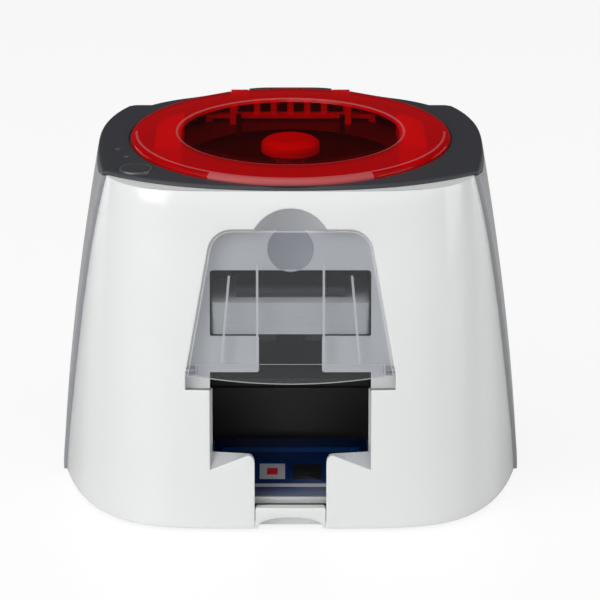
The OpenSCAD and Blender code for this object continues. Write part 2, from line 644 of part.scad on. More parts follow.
// ---- card feeder ----
tray_t = 2.5;
feeder_front_y = pan_y(path_z - tray_t, pan_depth + pan_t + seat_gap) + 0.4;
stack_front = feeder_front_y + 0.8;
feeder_back = stack_front + card_l + 0.6;
wall_top = 146;
slot_h = card_t + 0.35;
tyre_x = [8, 20];
module feeder_tray() color("#2c2d30") difference() {
  union() {
    box(-card_half - tray_t, card_half + tray_t, feeder_front_y, feeder_back + tray_t, path_z - tray_t, path_z - 0.1);
    both_sides() side_slab(card_half, tray_t) polygon([
      [feeder_front_y, path_z - tray_t], [pan_y(wall_top, pan_depth + pan_t + seat_gap) + 0.4, wall_top],
      [feeder_back + tray_t, wall_top], [feeder_back + tray_t, path_z - tray_t]]);
    box(-card_half - 1, card_half + 1, feeder_back, feeder_back + tray_t, path_z + slot_h, wall_top);
    both_sides() box(card_half + tray_t - 0.5, frame_x, feeder_back - 16, feeder_back - 4, 130, 140);
  }
  both_sides() box(tyre_x[0] - 1.5, tyre_x[1] + 1.5, pickup_y - roller_r - 1, pickup_y + roller_r + 1, 90, path_z + 1);
  box(-finger_w, finger_w, -body_d, feeder_front_y + 14, 90, path_z + 1);
  x_rod(pusher_y, pusher_z, -frame_x, frame_x, pusher_rod_r + run_gap);
  box(-24, 24, feeder_back - 1, feeder_back + tray_t + 1, 128, 132);
}
stack_h = blank_count * card_t;
module card_pile(count) {
  // one solid with fine grooves between the cards
  h = count * card_t;
  for (k = [0:count - 1]) translate([-card_w / 2, 0, k * card_t]) {
    translate([0.1, 0.1, 0]) cube([card_w - 0.2, card_l - 0.2, card_t]);
    translate([0, 0, 0.06]) cube([card_w, card_l, card_t - 0.12]);
  }
}
module blank_cards() color("whitesmoke") translate([0, stack_front, path_z]) card_pile(blank_count);

// Flap that presses the cards down, hung on two stub pins in the feeder's side walls
pusher_y = feeder_back - 4;
pusher_z = 141;
pusher_rod_r = 2;
pusher_reach = 40;
pusher_low = path_z + stack_h + seat_gap;
pusher_tip_r = 3;
pusher_drop = asin((pusher_z - pusher_low - pusher_tip_r) / pusher_reach);
module card_pusher() color("#50525a") {
  translate([0, pusher_y, pusher_z]) rotate([pusher_drop, 0, 0]) {
    box(-30, 30, -pusher_reach, -2, -1.2, 1.2);
    x_rod(-pusher_reach, 0, -30, 30, pusher_tip_r);
    both_sides() box(26, 30, -pusher_reach, 0, -2.4, 2.4);
  }
  x_rod(pusher_y, pusher_z, -card_half - tray_t, card_half + tray_t, pusher_rod_r);
}
gauge_travel = 0.8;
module thickness_gauge() color("orange") difference() {
  union() {
    box(-21, 21, feeder_back + tray_t + 0.2, feeder_back + tray_t + 1.8, path_z + slot_h + 0.2, 127);
    box(-8, 8, feeder_back + tray_t + 0.2, feeder_back + tray_t + 4.5, 122.5, 126);
    box(-4, 4, feeder_back - 1.5, feeder_back + tray_t + 0.5, 128.5, 130.5);
    box(-4, 4, feeder_back + tray_t + 0.2, feeder_back + tray_t + 1.8, 126, 130.5);
  }
}

// ---- rollers, all on one height, and their drive ----
axis_z = path_z - seat_gap - roller_r;
bush_r = 5;
bush_flange = 0.8;
gear_x = -frame_x - frame_t - bush_flange - 0.5 - gear_w;
belt_w = 4.8;
groove_w = 5;
pulley_x = gear_x - 1 - groove_w;
shaft_ends = [pulley_x - 0.8, frame_x + frame_t + 2];
roller_half = 43.5;
module drive_shaft(y) {
  x_rod(y, axis_z, shaft_ends[0], shaft_ends[1], shaft_d / 2);
  x_rod(y, axis_z, pulley_x, pulley_x + groove_w, pulley_r);
  for (x = [pulley_x - 0.8, pulley_x + groove_w]) x_rod(y, axis_z, x, x + 0.8, pulley_r + belt_t);
}
module sleeve(y, x0, x1, r) difference() {
  x_rod(y, axis_z, x0, x1, r);
  x_rod(y, axis_z, x0 - 1, x1 + 1, shaft_d / 2);
}
module pickup_shaft() color("silver") drive_shaft(pickup_y);
module pickup_tyres() color("#202020") both_sides() sleeve(pickup_y, tyre_x[0], tyre_x[1], roller_r);
module feed_shaft() color("silver") drive_shaft(feed_y);
module feed_sleeve() color("#202020") sleeve(feed_y, -roller_half, roller_half, roller_r);
module platen_shaft() color("silver") drive_shaft(platen_y);
module platen_sleeve() color("#202020") sleeve(platen_y, -roller_half, roller_half, roller_r);
module transport_shaft() color("silver") drive_shaft(transport_y);
module transport_sleeve() color("#202020") sleeve(transport_y, -roller_half, roller_half, roller_r);

// The motor pinion meshes below the platen gear
mesh_d = gear_m * (platen_teeth + pinion_teeth) / 2;
motor_dy = 6;
motor_y = platen_y + motor_dy;
motor_z = axis_z - sqrt(mesh_d * mesh_d - motor_dy * motor_dy);
mesh_a = atan2(motor_z - axis_z, motor_dy);
motor_shaft_r = 2.5;
motor_side = 35;
motor_l = 32;
module platen_gear() color("ivory")
  gear(platen_y, axis_z, gear_x, gear_w, platen_teeth, mesh_a, shaft_d / 2);
module motor_pinion() color("goldenrod") {
  gear(motor_y, motor_z, gear_x, gear_w, pinion_teeth, mesh_a + 180 + 180 / pinion_teeth, motor_shaft_r - 0.5);
  x_rod(motor_y, motor_z, gear_x, -frame_x + 2, motor_shaft_r);
}
module drive_motor() color("#606468") difference() {
  union() {
    translate([-frame_x, motor_y - motor_side / 2, motor_z - motor_side / 2]) cube([motor_l, motor_side, motor_side]);
    x_rod(motor_y, motor_z, -frame_x + motor_l - 1, -frame_x + motor_l + 1.5, 9);
  }
  x_rod(motor_y, motor_z, -frame_x - 1, -frame_x + 4, motor_shaft_r + run_gap);
}
module belt_outline(r) {
  for (y = [pickup_y, transport_y]) translate([y, axis_z]) circle(r = r);
  translate([pickup_y, axis_z - r]) square([transport_y - pickup_y, 2 * r]);
}
module drive_belt() color("#181818") side_slab(pulley_x + (groove_w - belt_w) / 2, belt_w) difference() {
  belt_outline(pulley_r + 0.1 + belt_t);
  belt_outline(pulley_r + 0.1);
}
bush_len = frame_t + 3;
module shaft_bushes() color("#c08040") both_sides()
  for (y = [pickup_y, feed_y, platen_y, transport_y]) difference() {
    union() {
      x_rod(y, axis_z, frame_x, frame_x + frame_t + bush_flange, bush_r - run_gap);
      x_rod(y, axis_z, frame_x + frame_t, frame_x + frame_t + bush_flange, bush_r + 1.5);
    }
    x_rod(y, axis_z, frame_x - 1, frame_x + bush_len, shaft_d / 2 + run_gap);
  }

// Upper rollers
cleaning_r = 7;
pinch_r = 5;
stub_r = 2;
stub_x = frame_x + frame_t + 0.6;
function upper_z(r) = path_z + card_t + 0.05 + r;
module upper_roller(y, r) {
  x_rod(y, upper_z(r), -roller_half, roller_half, r);
  x_rod(y, upper_z(r), -stub_x, stub_x, stub_r);
}
module cleaning_roller() color("#7fb0e0") upper_roller(feed_y, cleaning_r);
module pinch_roller() color("#303030") upper_roller(transport_y, pinch_r);

// Flap that turns printed cards down into the chute
flap_y = -6;
flap_z = 110;
flap_l = 15.5;
module diverter_flap() color("#50525a") {
  box(-42, 42, flap_y - flap_l, flap_y, flap_z - 1, flap_z + 1);
  x_rod(flap_y, flap_z, -stub_x, stub_x, stub_r);
}

// ---- card guide: floor strips and the chute to the output tray ----
guide_x = 44;
guide_t = 2.4;
guide_top = path_z - 0.2;
strips = [[flap_y + 1, platen_y - roller_r - 1.2], [platen_y + roller_r + 1.2, transport_y - roller_r - 1.2],
  [transport_y + roller_r + 1.2, 86]];
chute_high = [-12, 98.5];
chute_low = [-47.5, 66];
chute_t = 2;
module card_guide() color("#2c2d30") difference() {
  union() {
    for (s = strips) box(-guide_x - 1, guide_x + 1, s[0], s[1], guide_top - 2.2, guide_top);
    side_slab(-guide_x - 1, 2 * guide_x + 2) polygon([chute_high, [flap_y + 2, guide_top - 1], [flap_y + 2, guide_top - 4],
      chute_high + [1, -2.6], chute_low + [1, -2.4], chute_low]);
    both_sides() side_slab(guide_x, guide_t) polygon([
      [flap_y - 13, 104], [flap_y - 13, 92], chute_low + [0, 8], chute_low + [0, -3], [-14, 90.5], [86, 91],
      [86, guide_top + 2.2], [flap_y, guide_top + 2.2]]);
    both_sides() for (y = [-38, 70]) box(guide_x + guide_t - 0.5, frame_x, y, y + 8, y < 0 ? 75 : 92, y < 0 ? 80 : 100);
  }
  for (y = [platen_y, transport_y]) x_rod(y, axis_z, -60, 60, shaft_d / 2 + 1.2);
}

// ---- output tray ----
tray_front = pan_y(20, wall) + 12;
out_z = 12.2;
out_front = front_y(0, out_z, 0) + 9.8;
out_lean = 19;
out_wall_x = card_half + 0.2;
out_back = -49;
module output_tray() color("#1c1d1f") {
  side_slab(-out_wall_x - tray_t, 2 * (out_wall_x + tray_t)) polygon([
    [out_front - 2.2, out_z - 4], [out_front - 2.2, out_z + 0.6], [out_front - 0.4, out_z + 0.6],
    [out_front + 0.2, out_z - 1.2], [out_front + 56, out_z - 1.2 + 55.8 * tan(out_lean)],
    [out_front + 56, out_z - 4 + 55.8 * tan(out_lean)], [out_front + 4, out_z - 4]]);
  box(-out_wall_x - 1, out_wall_x + 1, out_back - tray_t, out_back, out_z + 10, chute_low[1] - 4.5);
  both_sides() side_slab(out_wall_x, tray_t) polygon([
    [out_front - 2.2, base_top], [pan_y(68, wall) + 2, 68],
    [pan_y(84, pan_depth + pan_t) + 0.8, 75], [pan_y(84, pan_depth + pan_t) + 0.8, 84], [out_back, 84], [out_back, base_top]]);
}
module output_lip() color("white") difference() {
  box(-notch_w + seat_gap, notch_w - seat_gap, front_y(0, out_z, 0), out_front - 2.2, foot_h, out_z + 1);
  translate([0, 0, foot_h + 9 - lip_arch_r]) rotate([90, 0, 0]) cylinder(h = body_d, r = lip_arch_r, $fn = 96);
}
lip_arch_r = 24.4;
module printed_cards() color("#001c44") translate([0, out_front + 0.6, out_z - 0.6]) rotate([out_lean, 0, 0])
  card_pile(printed_count);

// ---- side frames ----
rod_r = 4;
rod_neck_r = 3;
bridge_h = -18;
head_pivot = [80, 128];
pivot_r = 2.5;
function frame_top(y) = plane_z(y, bridge_h);
rod_spots = [[-64, frame_top(-64) - 10.2], [platen_y, frame_top(platen_y) - 26.5], [82, 60], [-34, 24]];
module frame_plate(x0) difference() {
  side_slab(x0, frame_t) difference() {
    polygon([[-72, 88], [-44, 62], [-44, base_top], [88, base_top], [88, frame_top(88)], [-72, frame_top(-72)]]);
    polygon([[-58, 118], [-44, 118], [-44, 150], [-58, 150]]);
    polygon([[6, frame_top(6) - 15], [48, frame_top(48) - 17], [48, frame_top(48) - 9], [6, frame_top(6) - 9]]);
  }
  for (y = [pickup_y, feed_y, platen_y, transport_y]) x_rod(y, axis_z, x0 - 1, x0 + 3, bush_r);
  x_rod(feed_y, upper_z(cleaning_r), x0 - 1, x0 + 3, stub_r + run_gap);
  x_rod(transport_y, upper_z(pinch_r), x0 - 1, x0 + 3, stub_r + run_gap);
  x_rod(flap_y, flap_z, x0 - 1, x0 + 3, stub_r + run_gap);
  for (spot = rod_spots) x_rod(spot[0], spot[1], x0 - 1, x0 + 3, rod_neck_r + run_gap);
  for (y = [supply_y, takeup_y]) x_rod(y, spool_z, x0 - 1, x0 + 3, hub_r + run_gap);
  x_rod(head_pivot[0], head_pivot[1], x0 - 1, x0 + 3, pivot_r + run_gap);
  for (y = guide_bars) x_rod(y, guide_bar_z, x0 - 1, x0 + 3, guide_bar_r + run_gap);
}
module frame_left() color("#9a9da2") difference() {
  frame_plate(-frame_x - frame_t);
  x_rod(motor_y, motor_z, -60, -40, motor_shaft_r + 1.5);
}
module frame_right() color("#9a9da2") difference() {
  frame_plate(frame_x);
  x_rod(ribbon_y, ribbon_z, 40, 60, ribbon_shaft_r + 1);
}
module cross_rods() color("silver") for (spot = rod_spots) {
  x_rod(spot[0], spot[1], -frame_x, frame_x, rod_r);
  x_rod(spot[0], spot[1], -frame_x - frame_t - 1.2, frame_x + frame_t + 1.2, rod_neck_r);
}

// ---- bridge over the ribbon bay, with the lock knob ----
bridge_t = 2;
knob_r = 16.5;
stem_r = 8.6;
knob_top = window_h - lid_wall - 0.4;
cheek = [62, 76];
module head_bridge() color("#26272a") {
  top_frame() difference() {
    union() {
      box(-frame_x - 10, frame_x + 10, 56, 174, bridge_h, bridge_h + bridge_t);
      box(-cheek[1], cheek[1], 100, 132, bridge_h, bridge_h + bridge_t);
      // pads under the lid's rim and two posts
      both_sides() difference() {
        box(cheek[0], cheek[1], 102, 130, bridge_h + bridge_t - 0.5, -1);
        box(cheek[0] + 2, cheek[1] - 2, 104, 128, bridge_h + bridge_t, 5);
      }
      both_sides() box(28.4, 31.6, 142, 146, bridge_h + bridge_t - 0.5, -0.8);
      translate([0, lid_v, bridge_h]) cylinder(h = bridge_t + 4, r = stem_r + 2.4);
    }
    translate([0, lid_v, bridge_h - 1]) cylinder(h = 20, r = 5 + run_gap);
  }
}
rib_n = 5;
rib_pitch = 9.85;
module cooling_fins() color("lightgray") top_frame() {
  box(-27, 27, 166, 172, bridge_h + bridge_t, bridge_h + bridge_t + 2);
  for (i = [0:rib_n - 1]) translate([(i - (rib_n - 1) / 2) * rib_pitch, 0, 0])
    box(-2, 2, 166, 172, bridge_h + bridge_t + 1, -0.5);
}
knob_low = bridge_h + bridge_t + 4 + 0.2;
module lock_knob() color("lightgray") at_top(0, lid_v, 0) {
  rotate_extrude() polygon([
    [0, knob_top], [10.5, knob_top], [14, knob_top - 1], [16, knob_top - 2.6], [knob_r, knob_top - 4.6],
    [knob_r, knob_top - 7.5], [knob_r - 1.6, knob_top - 9], [stem_r, knob_top - 9.4], [stem_r, knob_low], [5, knob_low],
    [5, bridge_h - 1.2], [0, bridge_h - 1.2]]);
  for (i = [0:7]) rotate([0, 0, 45 * i]) box(stem_r - 0.5, stem_r + 1.4, -0.9, 0.9, knob_low, knob_top - 9);
}

// ---- print head on its swinging carrier ----
head_y = platen_y;
head_low = path_z + card_t + 0.4;
arm_x = [44.6, 46.9];
module head_carrier() color("#8a8d92") {
  both_sides() {
    side_slab(arm_x[0], arm_x[1] - arm_x[0]) polygon([
      [head_y - 9, 116], [head_y - 9, 127], [head_y + 10, 127], [head_y + 14, head_pivot[1] - 3.5],
      [takeup_y + 10, head_pivot[1] - 3.5], [head_pivot[0] - 2, head_pivot[1] + 5],
      [head_pivot[0] + 6, head_pivot[1]], [head_pivot[0] - 2, head_pivot[1] - 6], [head_y + 12, 116]]);
    x_rod(head_pivot[0], head_pivot[1], arm_x[0], stub_x, pivot_r);
  }
  box(-arm_x[0] - 0.5, arm_x[0] + 0.5, head_y - 8, head_y + 10, 122, 126);
}
module print_head() color("#d8d2c0") difference() {
  union() {
    box(-43, 43, head_y - 5.5, head_y + 6.5, head_low, 114);
    box(-43, 43, head_y - 7, head_y + 9, 114, 122);
  }
  for (i = [0:6]) box(-44, 44, head_y - 6 + i * 2.1, head_y - 5 + i * 2.1, 117, 121);
}
spring_x = 25;
module head_springs() color("silver") both_sides()
  translate([spring_x, head_y, 126.1]) coil_spring(4, 0.6, 6, rod_spots[1][1] - rod_r - 126.2);

// ---- ribbon ----
hub_r = 4;
core_r = 6.5;
flange_r = 11;
flange_x = 44.6;
module spool(y) {
  x_rod(y, spool_z, -flange_x, flange_x, core_r);
  x_rod(y, spool_z, -stub_x, stub_x, hub_r);
}
module supply_core() color("ivory") spool(supply_y);
module supply_ribbon() color("#202830") difference() {
  x_rod(supply_y, spool_z, -ribbon_x, ribbon_x, supply_r);
  x_rod(supply_y, spool_z, -60, 60, core_r);
}
takeup_mesh = gear_m * (takeup_teeth + ribbon_teeth) / 2;
ribbon_dz = 16.5;
ribbon_y = takeup_y + sqrt(takeup_mesh * takeup_mesh - ribbon_dz * ribbon_dz);
ribbon_z = spool_z + ribbon_dz;
ribbon_shaft_r = 1.5;
takeup_a = atan2(ribbon_z - spool_z, ribbon_y - takeup_y);
takeup_x = frame_x + frame_t + 1;
module takeup_core() color("ivory") {
  spool(takeup_y);
  difference() {
    x_rod(takeup_y, spool_z, -ribbon_x, ribbon_x, takeup_r);
    x_rod(takeup_y, spool_z, -60, 60, core_r - 0.5);
  }
  x_rod(takeup_y, spool_z, frame_x, takeup_x + gear_w, hub_r);
}
module takeup_gear() color("ivory")
  gear(takeup_y, spool_z, takeup_x, gear_w, takeup_teeth, takeup_a, hub_r);
module ribbon_pinion() color("goldenrod") {
  gear(ribbon_y, ribbon_z, takeup_x, gear_w, ribbon_teeth, takeup_a + 180 + 180 / ribbon_teeth, ribbon_shaft_r - 0.3);
  x_rod(ribbon_y, ribbon_z, frame_x - 3, takeup_x + gear_w, ribbon_shaft_r);
}
module ribbon_motor() color("#606468") difference() {
  x_rod(ribbon_y, ribbon_z, frame_x - 22, frame_x, 10.4);
  x_rod(ribbon_y, ribbon_z, frame_x - 4, frame_x + 1, ribbon_shaft_r + run_gap);
}
guide_bars = [6, 40];
guide_bar_z = 112;
guide_bar_r = 2.5;
module ribbon_guides() color("silver") for (y = guide_bars) x_rod(y, guide_bar_z, -stub_x, stub_x, guide_bar_r);
film_t = 0.2;
film_z = head_low - 0.15 - film_t;
function on_roll(y, r, a) = [y + r * cos(a), spool_z + r * sin(a)];
film_gap = 0.3;
film_line = [on_roll(supply_y, supply_r + film_gap, -38), [guide_bars[0] - 3.5, guide_bar_z - 0.5],
  [guide_bars[0] - 0.8, guide_bar_z - guide_bar_r - 1], [head_y - 7, film_z], [head_y + 8, film_z],
  [guide_bars[1] + 0.8, guide_bar_z - guide_bar_r - 1], [guide_bars[1] + 3.5, guide_bar_z - 0.5],
  on_roll(takeup_y, takeup_r + film_gap, 204)];
module ribbon_film() color("#202830") side_slab(-ribbon_x, 2 * ribbon_x) polygon(concat(
  film_line, [for (i = [len(film_line) - 1:-1:0]) film_line[i] + film_t * film_side(i)]));
function film_dir(i) = let (a = film_line[max(0, i - 1)], b = film_line[min(len(film_line) - 1, i + 1)]) (b - a) / norm(b - a);
function film_side(i) = let (d = film_dir(i)) [-d[1], d[0]];

// ---- electronics ----
pcb_z = 10;
pcb_y = [18, rear_y(0, socket_z, wall) - 3];
module main_board() color("darkgreen") {
  box(-42, 42, pcb_y[0], pcb_y[1], pcb_z, pcb_z + 1.6);
  both_sides() for (y = [pcb_y[0] + 6, pcb_y[1] - 8]) translate([36, y, base_top]) cylinder(h = pcb_z - base_top, d = 6);
  box(-12, 2, 40, 54, pcb_z + 1.6, pcb_z + 3);
  box(14, 24, 38, 52, pcb_z + 1.6, pcb_z + 2.8);
  for (x = [-30, -24]) translate([x, 60, pcb_z + 1.6]) cylinder(h = 10, d = 5);
}
module rear_sockets() color("silver") {
  back = rear_y(data_x, socket_z + 5, 0) - 0.6;
  difference() {
    box(data_x - 6, data_x + 6, pcb_y[1] - 14, back, pcb_z + 1.6, socket_z + 11);
    box(data_x - 4.2, data_x + 4.2, back - 9, back + 1, socket_z + 1.5, socket_z + 9.5);
  }
  box(data_x - 2.6, data_x + 2.6, back - 9.5, back - 1, socket_z + 4, socket_z + 7);
  difference() {
    union() {
      box(power_x - 4.5, power_x + 4.5, pcb_y[1] - 12, pcb_y[1], pcb_z + 1.6, socket_z + 10);
      translate([power_x, pcb_y[1] - 0.5, socket_z + 5.5]) rotate([-90, 0, 0]) cylinder(h = back - pcb_y[1] + 0.5, r = 4);
    }
    translate([power_x, pcb_y[1] - 10, socket_z + 5.5]) rotate([-90, 0, 0]) cylinder(h = 40, r = 2.8);
  }
  translate([power_x, pcb_y[1] - 10.5, socket_z + 5.5]) rotate([-90, 0, 0]) cylinder(h = back - pcb_y[1] + 8, r = 1);
}

base_tray();
rubber_feet();
front_shell();
side_panel_left();
side_panel_right();
rear_shell();
top_bezel();
screws();
indicator_lenses();
lid();
lid_hinge_pins();
feeder_door();
door_hinge_pins();
power_button();
button_ring();
button_spring();
panel_board();
feeder_tray();
blank_cards();
card_pusher();
thickness_gauge();
pickup_shaft();
pickup_tyres();
feed_shaft();
feed_sleeve();
platen_shaft();
platen_sleeve();
platen_gear();
transport_shaft();
transport_sleeve();
cleaning_roller();
pinch_roller();
output_tray();
output_lip();
printed_cards();
card_guide();
diverter_flap();
frame_left();
frame_right();
cross_rods();
shaft_bushes();
head_bridge();
cooling_fins();
lock_knob();
head_carrier();
print_head();
head_springs();
supply_core();
supply_ribbon();
takeup_core();
takeup_gear();
ribbon_film();
ribbon_guides();
ribbon_motor();
ribbon_pinion();
drive_motor();
motor_pinion();
drive_belt();
main_board();
rear_sockets();
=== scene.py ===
# %% [markdown]
# # A desktop card printer
# A small office machine that prints plastic cards. Blank cards lie in a feeder behind a clear
# flap on the front, a red clear lid covers the ribbon, and printed cards drop into the mouth
# below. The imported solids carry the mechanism. Here they get their finishes, and the pieces
# that the eye meets first are built again as smooth surfaces around them.

# %% Load the solids
import json
import math
import random

import bmesh
import bpy
import numpy as np
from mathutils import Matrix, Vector
from mathutils.geometry import delaunay_2d_cdt


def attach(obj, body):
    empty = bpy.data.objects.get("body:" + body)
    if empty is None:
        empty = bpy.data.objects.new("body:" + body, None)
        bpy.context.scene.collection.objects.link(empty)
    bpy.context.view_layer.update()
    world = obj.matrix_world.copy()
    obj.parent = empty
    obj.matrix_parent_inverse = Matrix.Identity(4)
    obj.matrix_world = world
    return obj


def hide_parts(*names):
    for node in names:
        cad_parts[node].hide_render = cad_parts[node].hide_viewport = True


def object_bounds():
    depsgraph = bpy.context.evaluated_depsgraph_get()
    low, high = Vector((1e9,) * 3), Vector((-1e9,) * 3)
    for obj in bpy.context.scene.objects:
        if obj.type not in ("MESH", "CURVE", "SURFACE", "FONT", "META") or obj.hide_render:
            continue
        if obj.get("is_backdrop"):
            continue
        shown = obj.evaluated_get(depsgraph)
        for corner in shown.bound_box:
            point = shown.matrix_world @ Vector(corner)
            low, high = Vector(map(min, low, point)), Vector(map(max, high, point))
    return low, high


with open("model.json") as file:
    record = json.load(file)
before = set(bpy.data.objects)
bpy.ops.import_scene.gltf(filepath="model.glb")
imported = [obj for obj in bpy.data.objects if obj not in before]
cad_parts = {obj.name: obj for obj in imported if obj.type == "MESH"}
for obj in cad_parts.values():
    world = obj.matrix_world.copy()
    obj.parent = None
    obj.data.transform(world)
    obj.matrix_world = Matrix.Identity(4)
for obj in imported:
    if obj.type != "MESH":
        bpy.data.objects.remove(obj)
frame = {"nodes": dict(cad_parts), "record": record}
cad_box = [list(corner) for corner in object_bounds()]
nodes = frame["nodes"]
scene = bpy.context.scene
MM = 0.001
print("solids:", len(nodes), "box in mm:", [[round(c / MM, 1) for c in corner] for corner in cad_box])

# %% [markdown]
# ## The view
# The camera looks slightly down at the front from 1.6 m, with a long lens, so the upright
# edges stay nearly parallel. The lens is set on a 36 mm sensor, and a small shift puts the
# object a little left of the middle.

# %% Camera
CAMERA_DOWN = 14.75
lens = bpy.data.cameras.new("camera")
lens.lens = 172.86
lens.sensor_width = 36
lens.shift_x = 9.5 / 600
lens.clip_start = 0.05
camera = bpy.data.objects.new("camera", lens)
camera.location = (0, -1.6, 0.52)
camera.rotation_euler = (math.radians(90 - CAMERA_DOWN), 0, 0)
scene.collection.objects.link(camera)
scene.camera = camera
scene.view_settings.view_transform = "Standard"
print("camera at", tuple(camera.location), "looking down", CAMERA_DOWN, "degrees")

# %% [markdown]
# ## Helpers for materials
# A finish is a small tree of nodes. Hex colours are what a paint chart gives, so one function
# turns them into the linear values that light works with. Another adds one node, sets its
# values and wires it up.

# %% Colour and node helpers
def linear(hex_colour):
    """An sRGB hex colour as linear RGBA."""
    parts = [int(hex_colour[i:i + 2], 16) / 255 for i in (1, 3, 5)]
    return [c / 12.92 if c <= 0.04045 else ((c + 0.055) / 1.055) ** 2.4 for c in parts] + [1]


def add(tree, kind, values=None, feeds=None, **settings):
    """Add a node. Settings are its own options, values fill its inputs, feeds link them."""
    node = tree.nodes.new("ShaderNode" + kind)
    for key, value in settings.items():
        setattr(node, key, value)
    for key, value in (values or {}).items():
        node.inputs[key].default_value = value
    for key, source in (feeds or {}).items():
        tree.links.new(source, node.inputs[key])
    return node


def new_material(name):
    material = bpy.data.materials.new(name)
    material.use_nodes = True
    material.node_tree.nodes.clear()
    return material, material.node_tree


# %% [markdown]
# Moulded plastic, rubber and metal differ in few things: how far the colour drifts, how fine
# the surface texture is, how deep, and how sharply it mirrors. One recipe takes those numbers,
# with the texture's grain in millimetres, so each finish keeps its real scale.

# %% One recipe for solid finishes
def finish(name, colour, rough, grain=1.0, depth=0.02, drift=0.06, rough_drift=0.06, stretch=(1, 1, 1),
           edge=None, **shader):
    """A solid finish. grain is the texture's size in mm, depth its height in mm, and edge the
    colour of a painted highlight on convex edges."""
    material, tree = new_material(name)
    place = add(tree, "TexCoord")
    scaled = add(tree, "Mapping", {"Scale": [s / (grain * MM) for s in stretch]},
                 {"Vector": place.outputs["Object"]})
    fine = add(tree, "TexNoise", {"Scale": 1.0, "Detail": 3.0, "Roughness": 0.6},
               {"Vector": scaled.outputs[0]})
    broad = add(tree, "TexNoise", {"Scale": 18.0, "Detail": 2.0}, {"Vector": place.outputs["Object"]})
    base = linear(colour)
    darker = [c * (1 - drift) for c in base[:3]] + [1]
    lighter = [min(1, c * (1 + drift) + drift * 0.004) for c in base[:3]] + [1]
    tone = add(tree, "Mix", {"A": darker, "B": lighter}, {"Factor": broad.outputs[0]}, data_type="RGBA")
    colour_out = tone.outputs["Result"]
    # Convex edges, found by pointiness, are painted paler: a painted highlight.
    if edge:
        bend = add(tree, "NewGeometry")
        edge_highlight_share = add(tree, "MapRange", {"From Min": 0.54, "From Max": 0.64, "To Max": 0.5},
                   {"Value": bend.outputs["Pointiness"]})
        edge_highlight = add(tree, "Mix", {"B": linear(edge)}, {"Factor": edge_highlight_share.outputs[0], "A": colour_out},
                     data_type="RGBA")
        colour_out = edge_highlight.outputs["Result"]
    sheen = add(tree, "MapRange",
                {"To Min": max(0.02, rough - rough_drift), "To Max": min(1, rough + rough_drift)},
                {"Value": fine.outputs[0]})
    relief = add(tree, "Bump", {"Strength": 0.5, "Distance": depth * MM}, {"Height": fine.outputs[0]})
    body = add(tree, "BsdfPrincipled", shader, {"Base Color": colour_out, "Roughness": sheen.outputs[0],
                                               "Normal": relief.outputs[0]})
    add(tree, "OutputMaterial", feeds={"Surface": body.outputs[0]})
    return material


# %% [markdown]
# ## Opaque plastics
# Most of the printer is injection-moulded ABS. The front is polished white with a faint orange
# peel, the side panels and the back are silver-grey lacquer over the same plastic, and the
# bezel is spark-eroded anthracite, whose fine grain spreads the light. Inner parts are plain
# black or grey mouldings.

# %% Opaque plastics
# Moulded in a polished tool: a clear mirror with a faint orange peel.
gloss_white = finish("gloss white ABS", "#f1f2f2", 0.2, grain=3.5, depth=0.004, drift=0.012,
                     rough_drift=0.03, IOR=1.53, **{"Coat Weight": 0.35, "Coat Roughness": 0.08})
# Painted shade: an etched satin skin without a mirror, grey, and darker where little light comes in.
painted_shade_satin = finish("satin ABS with painted shade", "#b9bbbf", 0.4, grain=0.6, depth=0.01, drift=0.02, IOR=1.5)
painted_deep_shade_satin = finish("satin ABS with painted deep shade", "#85878b", 0.45, grain=0.6, depth=0.01, drift=0.02, IOR=1.5)
# Silver paint under a clear coat: it glints, and the coat keeps a sharp highlight.
silver_lacquer = finish("silver-grey lacquered ABS", "#a4a6aa", 0.3, grain=0.5, depth=0.003, drift=0.03,
                        Metallic=0.25, IOR=1.5, **{"Coat Weight": 0.5, "Coat Roughness": 0.12})
# A spark-eroded tool leaves a grain that spreads the light, and convex edges get a paler painted highlight.
anthracite = finish("spark-eroded anthracite ABS", "#3a3b40", 0.5, grain=0.45, depth=0.03, drift=0.08,
                    edge="#62636a", IOR=1.5)
# Plain inner mouldings are matt, with dull broad highlights, and convex edges get a painted highlight.
black_abs = finish("black moulded ABS", "#0d0d0f", 0.45, grain=0.6, depth=0.02, drift=0.15,
                   edge="#2c2d30", IOR=1.5)
grey_abs = finish("dark grey ABS", "#242529", 0.48, grain=0.6, depth=0.02, drift=0.1,
                  edge="#505157", IOR=1.5)
mid_grey_abs = finish("mid grey ABS", "#4e5054", 0.5, grain=0.6, depth=0.02, drift=0.05, IOR=1.5)
pale_abs = finish("pale grey ABS", "#eceded", 0.4, grain=0.7, depth=0.015, drift=0.04, IOR=1.5)
orange_abs = finish("orange ABS", "#e07a1e", 0.42, grain=0.7, depth=0.015, drift=0.06, IOR=1.5)
# Acetal is waxy: light goes a little way in.
acetal = finish("ivory acetal", "#e4ded0", 0.36, grain=1.2, depth=0.01, drift=0.04, IOR=1.48,
                **{"Subsurface Weight": 0.05, "Subsurface Scale": 0.002})
# Laminated card stock is smooth and even.
pvc_card = finish("white card PVC", "#eceded", 0.3, grain=2.0, depth=0.003, drift=0.01, IOR=1.54)
print("plastics:", len(bpy.data.materials))

# %% [markdown]
# ## Rubber, metal and electronics
# Rollers are ground rubber, matt with a dusty bloom, and the cleaning roller is tacky blue
# silicone. Frames are zinc-plated sheet steel, shafts are ground bright, bushes and pinions are
# turned brass. Turning and drawing leave lines round or along the piece, so the grain is
# stretched one way.

# %% Rubber, metal and electronics
# Rubber swallows light and shows only a wide dull sheen.
feet_rubber = finish("black feet rubber", "#1b1b1c", 0.75, grain=0.5, depth=0.03, drift=0.2, IOR=1.5)
roller_rubber = finish("ground roller rubber", "#4c4d50", 0.68, grain=0.35, depth=0.03, drift=0.12, IOR=1.5)
# Silicone stays glossy and a little uneven.
silicone = finish("blue silicone", "#3f6fae", 0.28, grain=1.5, depth=0.006, drift=0.05, IOR=1.43)
